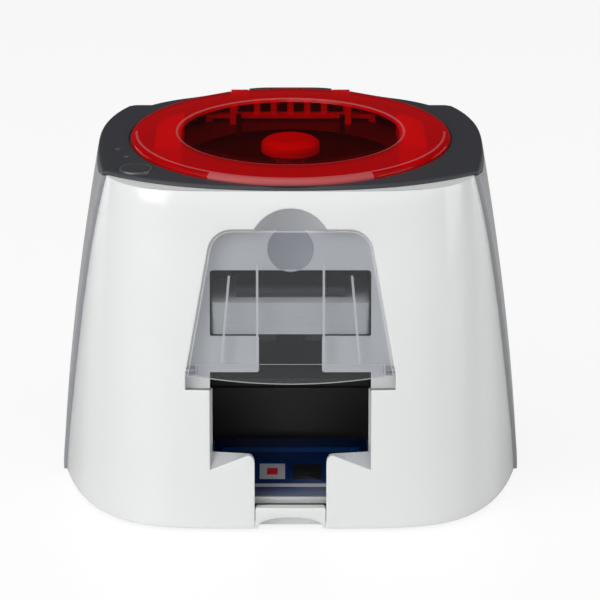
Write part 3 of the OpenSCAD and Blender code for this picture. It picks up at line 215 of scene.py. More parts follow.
# Zinc is cloudy, ground steel is streaked along the shaft, and drawn wire is finer still.
plated_steel = finish("zinc-plated steel", "#b9bcc0", 0.34, grain=2.2, depth=0.004, drift=0.1,
                      rough_drift=0.1, Metallic=1.0)
bright_steel = finish("ground bright steel", "#c9cbcf", 0.22, grain=0.5, depth=0.003, drift=0.05,
                      stretch=(0.2, 1, 1), Metallic=1.0)
spring_steel = finish("drawn spring steel", "#a3a5a8", 0.3, grain=0.4, depth=0.003, drift=0.08, Metallic=1.0)
# Satin chrome mirrors softly, turned brass in rings, and milled aluminium in lines.
chrome = finish("satin chromed plastic", "#d6d8db", 0.34, grain=1.5, depth=0.001, drift=0.02,
                rough_drift=0.03, Metallic=1.0)
brass = finish("turned brass", "#c8a04e", 0.26, grain=0.4, depth=0.004, drift=0.06,
               stretch=(3, 1, 1), Metallic=1.0)
milled_head = finish("milled aluminium", "#c4c5c3", 0.32, grain=0.6, depth=0.006, drift=0.05,
                     stretch=(0.15, 1, 1), Metallic=1.0)
# Solder mask is a thick glossy varnish, and ribbon film a thin smooth sheet.
solder_mask = finish("green solder mask", "#12512f", 0.3, grain=1.6, depth=0.02, drift=0.2, IOR=1.52,
                     **{"Coat Weight": 0.3, "Coat Roughness": 0.2})
ribbon_film = finish("dark ribbon film", "#171c26", 0.16, grain=2.5, depth=0.004, drift=0.15,
                     stretch=(0.1, 1, 1), IOR=1.5, **{"Coat Weight": 0.4, "Coat Roughness": 0.05})
print("finishes so far:", len(bpy.data.materials))

# %% [markdown]
# ## Clear plastics
# The lid is red transparent SAN and the feeder's flap is smoked polycarbonate, both thin
# walls. A thin clear wall hardly bends what is behind it: it tints it and mirrors the room.
# So each wall mixes a tinted see-through shader with a glossy body. The share of the body
# rises at grazing angles, as Fresnel's law says for both sides of a wall, and a little haze in
# it stands for scratches.

# %% One recipe for clear plastics
def clear_plastic(name, tint, body_colour, haze, rough, ior, grain=1.5, depth=0.002):
    """A thin clear wall: tint is what one wall lets through, haze the least share of the body."""
    material, tree = new_material(name)
    place = add(tree, "TexCoord")
    fine = add(tree, "TexNoise", {"Scale": 1 / (grain * MM), "Detail": 3.0},
               {"Vector": place.outputs["Object"]})
    broad = add(tree, "TexNoise", {"Scale": 40.0, "Detail": 2.0}, {"Vector": place.outputs["Object"]})
    relief = add(tree, "Bump", {"Strength": 0.4, "Distance": depth * MM}, {"Height": fine.outputs[0]})
    sheen = add(tree, "MapRange", {"To Min": rough * 0.7, "To Max": rough * 1.4}, {"Value": fine.outputs[0]})
    full = linear(body_colour)
    tone = add(tree, "Mix", {"A": [c * 0.94 for c in full[:3]] + [1], "B": full},
               {"Factor": broad.outputs[0]}, data_type="RGBA")
    body = add(tree, "BsdfPrincipled", {"IOR": ior},
               {"Base Color": tone.outputs["Result"], "Roughness": sheen.outputs[0],
                "Normal": relief.outputs[0]})
    through = add(tree, "BsdfTransparent", {"Color": linear(tint)})
    facing = add(tree, "LayerWeight", {"Blend": 0.5}, {"Normal": relief.outputs[0]})
    grazing = add(tree, "Math", {1: 5.0}, {0: facing.outputs["Facing"]}, operation="POWER")
    share = add(tree, "MapRange", {"To Min": haze, "To Max": 0.9}, {"Value": grazing.outputs[0]})
    wall = add(tree, "MixShader", feeds={0: share.outputs[0], 1: through.outputs[0], 2: body.outputs[0]})
    add(tree, "OutputMaterial", feeds={"Surface": wall.outputs[0]})
    return material


# The window is clear and the rim's underside is etched. Paler red on the ridges and
# the front edge is a painted highlight.
red_window = clear_plastic("clear red SAN", "#ff4c42", "#4a0004", 0.02, 0.06, 1.5)
red_rim = clear_plastic("red SAN, etched underside", "#ff3c36", "#ff0a14", 0.3, 0.1, 1.5)
red_painted_highlight = clear_plastic("red SAN, painted highlight", "#ff8a84", "#e0686a", 0.64, 0.35, 1.5)
# Smoked plastic dims a little. Its cut edges gather light, shown as a painted highlight: a white, hazier
# body.
smoked = clear_plastic("smoked polycarbonate", "#eeeff1", "#d8dadd", 0.045, 0.1, 1.5)
smoked_painted_highlight = clear_plastic("smoked polycarbonate, painted edge highlight", "#f0f1f2", "#ffffff", 0.54, 0.2, 1.5)
lens_plastic = clear_plastic("clear lens plastic", "#c8cccc", "#8a9092", 0.34, 0.25, 1.49)
print("materials in all:", len(bpy.data.materials))

# %% [markdown]
# ## Making a shell from outlines
# Each outer wall is a curved face with openings. Cutting openings out of a mesh with booleans
# leaves ragged rims, so the walls are made the other way round: an outline is drawn flat, the
# space between its loops is filled with triangles that lie exactly on the curved face, and
# every loop is rolled over a small radius into the thickness, as a moulding's edge is.
# All measures here are in millimetres.

# %% Outline helpers
def spaced(points, step):
    """A closed outline with points no further apart than step."""
    points, out = np.asarray(points, float), []
    for a, b in zip(points, np.roll(points, -1, 0)):
        n = max(1, int(math.ceil(np.linalg.norm(b - a) / step)))
        out += [a + (b - a) * k / n for k in range(n)]
    return np.array(out)


def rounded(points, radii, parts=6):
    """A closed outline with each corner rounded to its radius."""
    out, n = [], len(points)
    for i, (corner, radius) in enumerate(zip(points, radii)):
        p, before, after = (np.array(q, float) for q in (corner, points[i - 1], points[(i + 1) % n]))
        a, b = before - p, after - p
        la, lb = np.linalg.norm(a), np.linalg.norm(b)
        half = math.acos(max(-1, min(1, a @ b / la / lb))) / 2
        if radius <= 0 or half > 1.55:
            out.append(p)
            continue
        reach = min(radius / math.tan(half), la * 0.48, lb * 0.48)
        start, end = p + a / la * reach, p + b / lb * reach
        for k in range(parts + 1):
            t = k / parts
            out.append((1 - t) ** 2 * start + 2 * t * (1 - t) * p + t * t * end)
    return np.array(out)


def inset(loop, amount):
    """The loop moved to its left by amount. The solid lies on a loop's left side."""
    ahead = np.roll(loop, -1, 0) - loop
    ahead /= np.linalg.norm(ahead, axis=1)[:, None] + 1e-12
    behind = np.roll(ahead, 1, 0)
    normal = np.stack([-(ahead + behind)[:, 1], (ahead + behind)[:, 0]], 1)
    normal /= np.linalg.norm(normal, axis=1)[:, None] + 1e-12
    side = np.stack([-ahead[:, 1], ahead[:, 0]], 1)
    return loop + normal * (amount / np.maximum(0.5, (normal * side).sum(1)))[:, None]


def within(loop, points):
    """Which points lie inside a closed outline."""
    hit = np.zeros(len(points), bool)
    for a, b in zip(loop, np.roll(loop, -1, 0)):
        if a[1] != b[1]:
            crosses = (a[1] > points[:, 1]) != (b[1] > points[:, 1])
            hit ^= crosses & (points[:, 0] < (b[0] - a[0]) * (points[:, 1] - a[1]) / (b[1] - a[1]) + a[0])
    return hit


def filled(loops, step, creases=()):
    """Points and triangles that fill the space between closed outlines, first the outer one.
    Creases are open lines that the triangles follow."""
    edges, verts = [], []
    for loop in loops:
        first = len(verts)
        verts += [tuple(p) for p in loop]
        edges += [(first + k, first + (k + 1) % len(loop)) for k in range(len(loop))]
    for line in creases:
        first = len(verts)
        verts += [tuple(p) for p in line]
        edges += [(first + k, first + k + 1) for k in range(len(line) - 1)]
    rim = np.array(verts)
    low, high = rim.min(0), rim.max(0)
    grid = np.stack(np.meshgrid(np.arange(low[0] + step / 2, high[0], step),
                                np.arange(low[1] + step / 2, high[1], step)), -1).reshape(-1, 2)
    keep = within(loops[0], grid)
    for loop in loops[1:]:
        keep &= ~within(loop, grid)
    grid = grid[keep]
    for chunk in np.array_split(rim, max(1, len(rim) // 200)):
        near = ((grid[:, None] - chunk[None]) ** 2).sum(-1).min(1)
        grid = grid[near > (step * 0.45) ** 2]
    verts += [tuple(p) for p in grid]
    points, _, faces, *_ = delaunay_2d_cdt([Vector(v) for v in verts], edges, [], 0, 1e-6)
    points = np.array([tuple(p) for p in points])
    faces = np.array([f for f in faces if len(f) == 3])
    centre = points[faces].mean(1)
    keep = within(loops[0], centre)
    for loop in loops[1:]:
        keep &= ~within(loop, centre)
    return points, faces[keep]


# %% [markdown]
# A mesh is then put together from such fills and from strips between rings of points. The
# finished mesh is shaded smooth, and only real corners stay sharp.

# %% Mesh builder
class Build:
    """Collects points in millimetres and faces, then makes one mesh object."""

    def __init__(self):
        self.points, self.faces, self.marks = [], [], []

    def put(self, points):
        first = len(self.points)
        self.points += [tuple(map(float, p)) for p in points]
        return first

    def face(self, indices, mark=0):
        self.faces.append(tuple(int(i) for i in indices))
        self.marks.append(mark)

    def fill(self, points, faces, flip=False, mark=0):
        first = self.put(points)
        for f in faces:
            self.face((first + f)[::-1] if flip else first + f, mark)

    def strips(self, rings, closed=True, flip=False, mark=0, caps=False):
        """Quads between rings that all have the same number of points."""
        n = len(rings[0])
        starts = [self.put(ring) for ring in rings]
        for a, b in zip(starts, starts[1:]):
            for k in range(n if closed else n - 1):
                m = (k + 1) % n
                quad = (a + k, a + m, b + m, b + k)
                self.face(quad[::-1] if flip else quad, mark)
        if caps:
            self.face([starts[0] + k for k in range(n)][::1 if flip else -1], mark)
            self.face([starts[-1] + k for k in range(n)][::-1 if flip else 1], mark)

    def box(self, low, high, mark=0):
        xs, ys, zs = zip(low, high)
        ring = [(xs[0], ys[0]), (xs[1], ys[0]), (xs[1], ys[1]), (xs[0], ys[1])]
        self.strips([[(x, y, z) for x, y in ring] for z in zs], mark=mark, caps=True)

    def object(self, name, materials, body="housing", replaces=(), sharp=38, merge=0.004):
        mesh = bpy.data.meshes.new(name)
        mesh.from_pydata([tuple(c * MM for c in p) for p in self.points], [], self.faces)
        for material in materials if isinstance(materials, list) else [materials]:
            mesh.materials.append(material)
        mesh.polygons.foreach_set("material_index", self.marks)
        piece = bpy.data.objects.new(name, mesh)
        scene.collection.objects.link(piece)
        clean(mesh, merge)
        smooth(mesh, sharp)
        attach(piece, body)
        if replaces:
            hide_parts(*replaces)
        return piece


def clean(mesh, merge):
    """Weld points that coincide and drop faces with no area."""
    work = bmesh.new()
    work.from_mesh(mesh)
    bmesh.ops.remove_doubles(work, verts=work.verts, dist=merge * MM)
    bmesh.ops.dissolve_degenerate(work, edges=work.edges, dist=merge * MM * 0.5)
    work.to_mesh(mesh)
    work.free()


def smooth(mesh, sharp):
    mesh.polygons.foreach_set("use_smooth", [True] * len(mesh.polygons))
    mesh.set_sharp_from_angle(angle=math.radians(sharp))


ROLL_PARTS = 4


def rolled(place, loop, radius, wall, end=None):
    """Rings that roll a face's edge over a radius and then run down the wall's thickness."""
    rings = []
    for k in range(ROLL_PARTS + 1):
        turn = math.pi / 2 * k / ROLL_PARTS
        flat = inset(loop, radius * (1 - math.sin(turn)))
        rings.append(place(flat[:, 0], flat[:, 1], radius * (1 - math.cos(turn))))
    return rings + [place(loop[:, 0], loop[:, 1], wall) if end is None else end]


def shell(build, place, loops, step, radius, wall, ends=None, rim=0, creases=()):
    """A wall between outlines. ends gives, for some loops, the ring where their inner wall ends,
    and rim is the material number of the rolled edges."""
    inner = [inset(loop, radius) for loop in loops]
    points, faces = filled(inner, step, creases)
    build.fill(place(points[:, 0], points[:, 1], 0), faces)
    for k, loop in enumerate(loops):
        end = (ends or {}).get(k)
        build.strips(rolled(place, loop, radius, wall, end), flip=True, mark=rim)
    points, faces = filled(loops, step * 1.6)
    build.fill(place(points[:, 0], points[:, 1], wall), faces, flip=True)


print("shell helpers ready")

# %% [markdown]
# ## The form of the housing
# In plan the housing is a superellipse whose exponent changes with height: nearly square and
# bulging at the foot, rounder and narrower at the top. The front leans back, the sides lean
# in, and the top slopes up to the rear. Beyond a share of the half width, called a turn below,
# a wall is measured round its corner instead of across. The same curves carry the front, the
# side panels, the back and the bezel, so the pieces meet without steps that were not meant.

# %% Curves of the housing
BODY_W, BODY_D, FRONT_H = 262.0, 237.0, 185.0
WALL, FOOT, SLOPE = 2.5, 1.5, math.radians(5.5)
GAP = 0.3
REAR_SEAM, SIDE_STEP, SKIRT = 60.0, 2.2, 3.0
CORNER, REAR_CURVE = 5.4, 2.1
SIDE_LEAN, FRONT_LEAN, REAR_LEAN = 21.6, 20.0, 19.2
SEAM_FOOT, SEAM_SLANT = 13.0, 0.3085
FRONT_TURN, REAR_TURN, EDGE_TURN = 0.8, 0.6, 0.7


def rise(z, power):
    return (np.maximum(z, 0) / FRONT_H) ** power


def half_w(z):
    return BODY_W / 2 - SIDE_LEAN * rise(z, 1.5)


def front_d(z):
    return BODY_D / 2 - FRONT_LEAN * rise(z, 1.7)


def rear_d(z):
    return BODY_D / 2 - REAR_LEAN * rise(z, 1.7)


def seam_y(z):
    return -(SEAM_FOOT + SEAM_SLANT * z)


def left_of(r, n):
    """What a superellipse of power n leaves for the other axis at r of the half width."""
    return np.maximum(0, 1 - np.minimum(1, np.abs(r)) ** n)


def front_n(z):
    return 1.2 + 1.8 * rise(z, 2.3)


def rear_n(z):
    return 5 - 1.6 * rise(z, 2)


def front_y(x, z):
    return -front_d(z) * left_of(x / half_w(z), CORNER) ** (1 / front_n(z))


def front_x(y, z):
    return half_w(z) * left_of(y / front_d(z), front_n(z)) ** (1 / CORNER)


def rear_y(x, z):
    return rear_d(z) * left_of(x / half_w(z), rear_n(z)) ** (1 / REAR_CURVE)


def rear_x(y, z):
    return half_w(z) * left_of(y / rear_d(z), REAR_CURVE) ** (1 / rear_n(z))


TOP_Y = -front_d(FRONT_H)
SINK_Y, SINK_LENGTH, SINK_MIDDLE, SINK_CORNER = 54, 17, 0.4, 4.4


def plane_z(y, h):
    """Height of the sloping top plane, h above it."""
    return FRONT_H + (y - TOP_Y) * math.tan(SLOPE) + h / math.cos(SLOPE)


def ease(t):
    """A soft step from 0 to 1."""
    t = np.clip(t, 0, 1)
    return t * t * (3 - 2 * t)


def sink(x, y):
    """How far the top drops below the slope beside and behind the lid, most at the rear corners."""
    return ease((y - SINK_Y) / SINK_LENGTH) * (SINK_MIDDLE + SINK_CORNER * ease((np.abs(x) - 14) / 46))


def on_top(x, v, h):
    """A point of the sloping top: v up the slope from the front edge, h above it."""
    x, v, h = np.broadcast_arrays(x, v, h)
    return np.stack([x, TOP_Y + v * math.cos(SLOPE) - h * math.sin(SLOPE),
                     FRONT_H + v * math.sin(SLOPE) + h * math.cos(SLOPE)], -1).astype(float)


def off_face(face):
    """A place function from a face function: depth is measured along the face's own normal."""
    def place(u, v, depth):
        u, v, depth = np.broadcast_arrays(*(np.asarray(a, float) for a in (u, v, depth)))
        normal = np.cross(face(u + 0.4, v) - face(u - 0.4, v), face(u, v + 0.4) - face(u, v - 0.4))
        normal /= np.linalg.norm(normal, axis=-1)[..., None] + 1e-12
        return face(u, v) - normal * depth[..., None]
    return place


print("half width at foot and top:", half_w(0.0), round(float(half_w(FRONT_H)), 1))

# %% [markdown]
# ## The feeder door's plane
# The flap over the card feeder lies in a plane that leans back with the front. Its recess is
# cut square to that plane, so every outline of it is carried onto the curved front along the
# plane's normal.

# %% Door plane
DOOR_Z, DOOR_LEAN = 88.0, math.radians(8.2)
DOOR_Y = float(front_y(0.0, DOOR_Z)) + 0.6
DOOR_LOW, DOOR_HIGH, DOOR_H, DOOR_CORNER = 55.5, 43.5, 76.0, 12.0
DOOR_GAP, PAN_DEPTH, RECESS_LOW = 1.2, 7.5, 9.6


def on_door(x, h, depth):
    x, h, depth = np.broadcast_arrays(x, h, depth)
    return np.stack([x, DOOR_Y + depth * math.cos(DOOR_LEAN) + h * math.sin(DOOR_LEAN),
                     DOOR_Z - depth * math.sin(DOOR_LEAN) + h * math.cos(DOOR_LEAN)], -1).astype(float)


def door_outline(grow):
    """The flap's outline, or its recess's when grown: right side up, round the top, left down."""
    radius, centre = DOOR_CORNER + grow, np.array([DOOR_HIGH - DOOR_CORNER, DOOR_H - DOOR_CORNER])
    foot = np.array([DOOR_LOW + grow, -0.4 - grow])
    along = centre - foot
    lean = math.atan2(along[1], along[0]) - math.asin(radius / np.linalg.norm(along))
    turns = np.linspace(lean - math.pi / 2, math.pi / 2, 14)
    right = [foot] + [centre + radius * np.array([math.cos(a), math.sin(a)]) for a in turns]
    return np.array(right + [(-p[0], p[1]) for p in right[::-1]])


print("door plane starts at y =", round(DOOR_Y, 2))

# %% [markdown]
# ## Front shell
# The white front is one curved wall. Its outline runs round the card mouth, the recess of the
# feeder and the finger scoop in one line, because these openings run into each other. A soft
# ridge below the bezel catches the light as a brighter crescent.

# %% Front face
RIDGE_Z, RIDGE_RISE, RIDGE_OUT, RIDGE_HALF, RIDGE_REACH = 177.2, 7.4, 1.8, 98.0, 28
CORNER_X, CORNER_BACK = 101, 28.6


def edge_v(x):
    """How far up the slope the bezel's front edge lies. It draws back towards the corners."""
    return CORNER_BACK * (np.abs(x) / CORNER_X) ** 2.6


def ridge_z(x):
    """Height of the ridge: it rises to the bezel's corners."""
    return RIDGE_Z + RIDGE_RISE * (x / RIDGE_HALF) ** 2


def crescent(x, z):
    """How far the ridge under the bezel stands out."""
    side = np.abs(x) / RIDGE_HALF
    ridge = ridge_z(x)
    top = plane_z(front_y(x, z), 0)
    up = np.clip((z - ridge + RIDGE_REACH) / RIDGE_REACH, 0, 1)
    down = np.clip((top - z) / np.maximum(0.5, top - ridge), 0, 1)
    return RIDGE_OUT * np.maximum(0, 1 - side ** 2) * np.minimum(up ** 2 * (3 - 2 * up), down)


def front_face(u, z):
    """u is x across the middle and the way round the corners beyond it."""
    u, z = np.broadcast_arrays(np.asarray(u, float), np.asarray(z, float))
    z = np.clip(z, 0.2, 189)
    c = FRONT_TURN * half_w(z)
    beyond = np.maximum(0, np.abs(u) - c)
    y_corner = front_y(c, z)
    x = np.where(beyond > 0, np.sign(u) * front_x(y_corner + beyond, z), u)
    y = np.where(beyond > 0, y_corner + beyond, front_y(u, z))
    return np.stack([x, y - crescent(x, z), z], -1)


def front_border(z):
    """Where the front meets the side panel, along u."""
    c = FRONT_TURN * half_w(z)
    return c + seam_y(z) - front_y(c, z)


def under_bezel(u):
    """Height of the front's top edge."""
    z = np.full(np.shape(u), FRONT_H)
    for _ in range(12):
        z = plane_z(front_face(u, z)[..., 1], -0.15)
    return z


def onto_front(x, h):
    """The point (u, z) of the front straight ahead of a point of the door's plane."""
    depth = np.zeros(np.shape(x))
    for _ in range(12):
        point = on_door(x, h, depth)
        ahead = point[..., 1] - front_face(point[..., 0], point[..., 2])[..., 1]
        depth = depth - ahead / math.cos(DOOR_LEAN)
    return np.stack([x, on_door(x, h, depth)[..., 2]], -1)


def walk(corners, step=2.5):
    """Points along an open line through corners, without its last point."""
    out = []
    for a, b in zip(np.asarray(corners[:-1], float), np.asarray(corners[1:], float)):
        n = max(1, int(math.ceil(np.linalg.norm(b - a) / step)))
        out += [a + (b - a) * k / n for k in range(n)]
    return np.array(out)


on_front = off_face(front_face)
MOUTH_HALF, NOTCH, NOTCH_TOP = 43.5, 19.4, 38
SHOULDER_X, SHOULDER_Z, SHOULDER_DROP, SHOULDER_IN = 22, 43.0, 8.6, 42.2
RECESS_HALF, RECESS_TOP = DOOR_LOW + DOOR_GAP, DOOR_H + DOOR_GAP
DISH_R, DISH_OUT, DISH_H, DISH_FLOOR_R, DISH_RIM = 28.6, 18.47, 66.0, 12.0, 22.5
corner_z = float(onto_front(np.array(RECESS_HALF), np.array(-RECESS_LOW))[1])
print("recess bottom at z =", round(corner_z, 1), "top edge at", round(float(under_bezel(np.array(0.0))), 1))

# %% [markdown]
# The outline is walked once round, anticlockwise, with the wall's material always on its left.
# Each stretch has its own inner edge: the plain wall thickness, the deepening shoulders of the
# card mouth, the flat floor of the recess, or the rim of the scoop.

# %% Outline of the front
def half_outline():
    """Right half of the openings from the scoop's middle down to the foot, as (u, z) and ends."""
    line, ends = [], []
    # The scoop's rim, down to the recess.
    start = math.asin((RECESS_TOP - DISH_H) / DISH_RIM)
    for a in np.linspace(math.pi / 2, start, 15):
        x, h = DISH_RIM * math.cos(a), DISH_H + DISH_RIM * math.sin(a)
        line.append(onto_front(np.array(x), np.array(h)))
        ends.append(dish(x * 0.975, DISH_H + (h - DISH_H) * 0.975))
    # The recess's top and side.
    recess = door_outline(DOOR_GAP)[:15][::-1]
    edge = np.concatenate([walk([(line[-1][0] + 0.3, RECESS_TOP), recess[0]]), walk(recess),
                           walk([recess[-1], (RECESS_HALF, -RECESS_LOW)])])
    for x, h in edge:
        line.append(onto_front(np.array(x), np.array(h)))
        ends.append(on_door(x, h, PAN_DEPTH + 0.4))
    # The ledge at its foot, inward to the card mouth.
    for x in np.linspace(RECESS_HALF, MOUTH_HALF, 7):
        line.append(np.array([x, corner_z]))
        ends.append(on_door(x, -RECESS_LOW, PAN_DEPTH + WALL))
    # The mouth's side, down to the low end of the shoulder.
    for z in np.linspace(corner_z - 0.4, SHOULDER_Z - SHOULDER_DROP, 18):
        inner_z = max(z, SHOULDER_Z)
        line.append(np.array([MOUTH_HALF, z]))
        ends.append(np.array([SHOULDER_IN, float(front_y(SHOULDER_IN, inner_z)) + 6, inner_z]))
    # The shoulder, which rises towards the notch and grows shallower.
    for x in np.linspace(MOUTH_HALF, SHOULDER_X + 1, 9)[1:]:
        share = (x - SHOULDER_X) / (MOUTH_HALF - SHOULDER_X)
        line.append(np.array([x, SHOULDER_Z - SHOULDER_DROP * share]))
        ends.append(np.array([x, float(front_y(x, SHOULDER_Z)) + WALL + 3.5 * share, SHOULDER_Z]))
    # A short curve down into the notch.
    for t in (0.15, 0.4, 0.65, 0.9):
        line.append(np.array([22.6 - 3.2 * t ** 0.8, 42.4 - 3.4 * t ** 2]))
        ends.append(np.array([22.2 - 2.8 * t ** 0.8, float(front_y(22, 42)) + 2.6, 42.8 - 3.6 * t ** 2]))
    # The notch's side, down to the foot.
    for z in np.linspace(NOTCH_TOP, FOOT, 15):
        line.append(np.array([NOTCH, z]))
        ends.append(np.array([NOTCH, float(front_y(NOTCH, z)) + 2.6, z]))
    return np.array(line), np.array(ends)


def dish(x, h):
    """A point of the finger scoop, a shallow ball-shaped hollow."""
    return on_door(x, h, np.sqrt(np.maximum(0.01, DISH_R ** 2 - x ** 2 - (h - DISH_H) ** 2)) - DISH_OUT)


half_line, half_ends = half_outline()
mirror_line, mirror_ends = half_line * (-1, 1), half_ends * (-1, 1, 1)
foot_u = float(front_border(FOOT))
top_z = FRONT_H
for _ in range(20):
    top_z = float(plane_z(seam_y(top_z), -0.15))
top_u = float(front_border(top_z))
rising = np.linspace(FOOT, top_z, 50)
across = np.linspace(top_u, -top_u, 90)[1:-1]
outer = [np.stack([np.linspace(NOTCH, foot_u, 34)[1:-1], np.full(32, FOOT)], 1),
         np.stack([front_border(rising), rising], 1),
         np.stack([across, under_bezel(across)], 1),
         np.stack([-front_border(rising[::-1]), rising[::-1]], 1),
         np.stack([np.linspace(-foot_u, -NOTCH, 34)[1:-1], np.full(32, FOOT)], 1)]
outer = np.concatenate(outer)
front_loop = np.concatenate([mirror_line[:0:-1], half_line, outer])
front_ends = np.concatenate([mirror_ends[:0:-1], half_ends, on_front(outer[:, 0], outer[:, 1], WALL)])
after = np.roll(front_loop, -1, 0)
area = 0.5 * float(np.sum(front_loop[:, 0] * after[:, 1] - after[:, 0] * front_loop[:, 1]))
print("outline points:", len(front_loop), "signed area in mm2:", round(area))

# %% [markdown]
# The wall is filled inside that outline. A narrow white strip follows its top edge, and small
# triangles close the recess's top edge beside the scoop.

# %% Front wall
front = Build()
top_edge = front_face(across, under_bezel(across))
back_edge = on_top(top_edge[:, 0], edge_v(top_edge[:, 0]) + 1.5, -0.1)
drawn = back_edge[:, 1] > top_edge[:, 1]
rows = [top_edge + (0, 0.02, 0), top_edge + (0, 0.5, 0.12),
        np.where(drawn[:, None], back_edge, top_edge + (0, 0.9, 0.1))]
front.strips(rows, closed=False, flip=True)
ridge_x = np.linspace(-84, 84, 70)
shell(front, on_front, [front_loop], 4.2, 0.6, WALL, {0: front_ends},
      creases=[np.stack([ridge_x, ridge_z(ridge_x)], 1)])
for side in (1, -1):
    depths = np.linspace(0.3, PAN_DEPTH, 9)
    reach = np.sqrt(np.maximum(0, DISH_R ** 2 - (RECESS_TOP - DISH_H) ** 2 - (depths + DISH_OUT) ** 2))
    patch = [on_door(side * x, RECESS_TOP, d) for x, d in zip(reach, depths)]
    first = front.put(patch + [on_door(side * 19.8, RECESS_TOP, PAN_DEPTH + 0.4)])
    ring = [first + k for k in range(len(patch) + 1)]
    front.face(ring[::side])
print("faces of the front wall so far:", len(front.faces))

# %% [markdown]
# The recess's floor carries the feeder's opening, the apron below it and a notch for a finger.
# It is flat, so it is a piece of its own and shaded flat.

# %% Recess floor
def floor_h(z):
    """Height along the door's plane of a point of the recess floor at level z."""
    return (z - DOOR_Z + PAN_DEPTH * math.sin(DOOR_LEAN)) / math.cos(DOOR_LEAN)


def on_floor(x, h, depth):
    return on_door(x, h, PAN_DEPTH + np.asarray(depth, float))


low, sill, lintel, finger = floor_h(86), floor_h(105.5), floor_h(140.8), 17.0
right = door_outline(DOOR_GAP + 0.7)[:15]
notch_angle = math.asin((RECESS_TOP + 0.7 - DISH_H) / DISH_FLOOR_R)
bowl = [(DISH_FLOOR_R * math.cos(a), DISH_H + DISH_FLOOR_R * math.sin(a))
        for a in np.linspace(notch_angle, -math.pi - notch_angle, 26)]
corners = [(-RECESS_HALF - 0.7, -RECESS_LOW - 1), (-MOUTH_HALF, -RECESS_LOW - 1), (-MOUTH_HALF, low),
           (-finger, low), (-finger, sill), (-MOUTH_HALF, sill), (-MOUTH_HALF, lintel)]
corners += [(-x, h) for x, h in corners[::-1]]
floor_loop = rounded(corners, [0, 0, 0.5, 1.5, 1.5, 1, 2, 2, 1, 1.5, 1.5, 0.5, 0, 0], 4).tolist()
floor_loop += [tuple(p) for p in right] + bowl + [(-p[0], p[1]) for p in right[::-1]]
floor_loop = spaced(floor_loop, 2.5)
pan = Build()
shell(pan, on_floor, [floor_loop], 4.0, 0.4, WALL)
pan.object("recess_floor", gloss_white, sharp=8)
print("outline points of the recess floor:", len(floor_loop))

# %% [markdown]
# The scoop is part of a sphere that runs into the recess. Its skin, the mouth's shoulders and
# the recess's ledge are painted grey as shade, darkest on the ledge, and the rest of the wall stays
# polished.

# %% Finger scoop and painted shade on the front
shoulder = math.asin((RECESS_TOP - DISH_H) / DISH_RIM)
rim = [(DISH_RIM * 0.975 * math.cos(a), DISH_H + DISH_RIM * 0.975 * math.sin(a))
       for a in np.linspace(shoulder, math.pi - shoulder, 29)]
bowl_edge = [(p[0] * 1.04, DISH_H + (p[1] - DISH_H) * 1.04) for p in bowl[::-1] if p[1] < RECESS_TOP - 0.6]
dish_loop = spaced(rim + bowl_edge, 1.6)
points, faces = filled([dish_loop], 1.6)
# The scoop's whole skin gets the grey painted shade.
front.fill(dish(points[:, 0], points[:, 1]), faces, mark=1)
# Faces set back in the openings get painted shade: mark 1 grey, mark 2 a darker grey on the ledge.
for k, face in enumerate(front.faces):
    x, y, z = np.mean([front.points[i] for i in face], 0)
    inside = y - float(front_face(x, z)[1]) > 1.1
    shoulder_painted_shade = 20 < abs(x) < 44 and 33 < z < 46
    ledge_painted_shade = 43 < abs(x) < 57 and 68 < z < 84
    scoop_painted_shade = abs(x) < 23 and z > 163.5
    if inside and (shoulder_painted_shade or ledge_painted_shade or scoop_painted_shade):
        front.marks[k] = 2 if ledge_painted_shade else 1
front_piece = front.object("front_wall", [gloss_white, painted_shade_satin, painted_deep_shade_satin],
                           replaces=["front_shell"], sharp=32)
print("front shell faces:", len(front_piece.data.polygons))

# %% [markdown]
# ## Side panels and back
# The two lacquered side panels start behind the white front with a small step outward, so a
# line of shade runs down the seam. The back closes the housing. It has vents in its upper half
# and two holes for the sockets low down.

# %% Side panels
def side_x(y, z):
    step = np.maximum(0, half_w(z) - front_x(seam_y(z), z) - SIDE_STEP)
    return np.where(y < 0, half_w(z) - step * (y / seam_y(z)) ** 2, rear_x(y, z))


def right_face(u, z):
    u, z = np.broadcast_arrays(np.asarray(u, float), np.asarray(z, float))
    return np.stack([side_x(u, z), u, z], -1)


def left_face(u, z):
    """The left panel is walked the other way, so that its outside stays outside."""
    return right_face(-np.asarray(u, float), z) * (-1, 1, 1)


def skirt_h(y):
    """The bezel's skirt grows from nothing at the seam with the front."""
    return SKIRT * ease((y + 70) / 18)


def under_skirt(x, y):
    return plane_z(y, -skirt_h(y) - GAP) - sink(x, y)


def panel_loop():
    z_front = 150.0
    for _ in range(20):
        z_front = float(under_skirt(105.0, seam_y(z_front) + GAP))
    rising = np.linspace(FOOT, z_front, 40)
    depth = np.linspace(float(seam_y(z_front)) + GAP, REAR_SEAM - GAP, 34)
    z_back = float(under_skirt(95.0, REAR_SEAM))
    back = np.linspace(z_back, FOOT, 40)
    foot = np.linspace(REAR_SEAM - GAP, float(seam_y(FOOT)) + GAP, 22)
    return np.concatenate([np.stack([seam_y(rising) + GAP, rising], 1),
                           np.stack([depth, under_skirt(95.0, depth)], 1)[1:-1],
                           np.stack([np.full(40, REAR_SEAM - GAP), back], 1),
                           np.stack([foot, np.full(22, FOOT)], 1)[1:-1]])[::-1]


loop = panel_loop()
for name, face, points in (("side_panel_right", right_face, loop),
                           ("side_panel_left", left_face, (loop * (-1, 1))[::-1])):
    panel = Build()
    shell(panel, off_face(face), [points], 6.5, 0.35, WALL)
    panel.object(name.replace("panel", "wall"), silver_lacquer, replaces=[name])
print("outline points of a side panel:", len(loop))

# %% [markdown]
# The back is one wall round both rear corners. Its outline follows the bezel's skirt, and the
# vents and socket holes are further loops in the same fill.

# %% Back
VENTS, VENT_PITCH, VENT_R, VENT_TOP, VENT_LOW = 9, 11, 1.5, 136, 104
POWER_HOLE, POWER_R = (20, 19.5), 4.2
DATA_U, DATA_Z = (-28.4, -15.6), (11.2, 25.4)


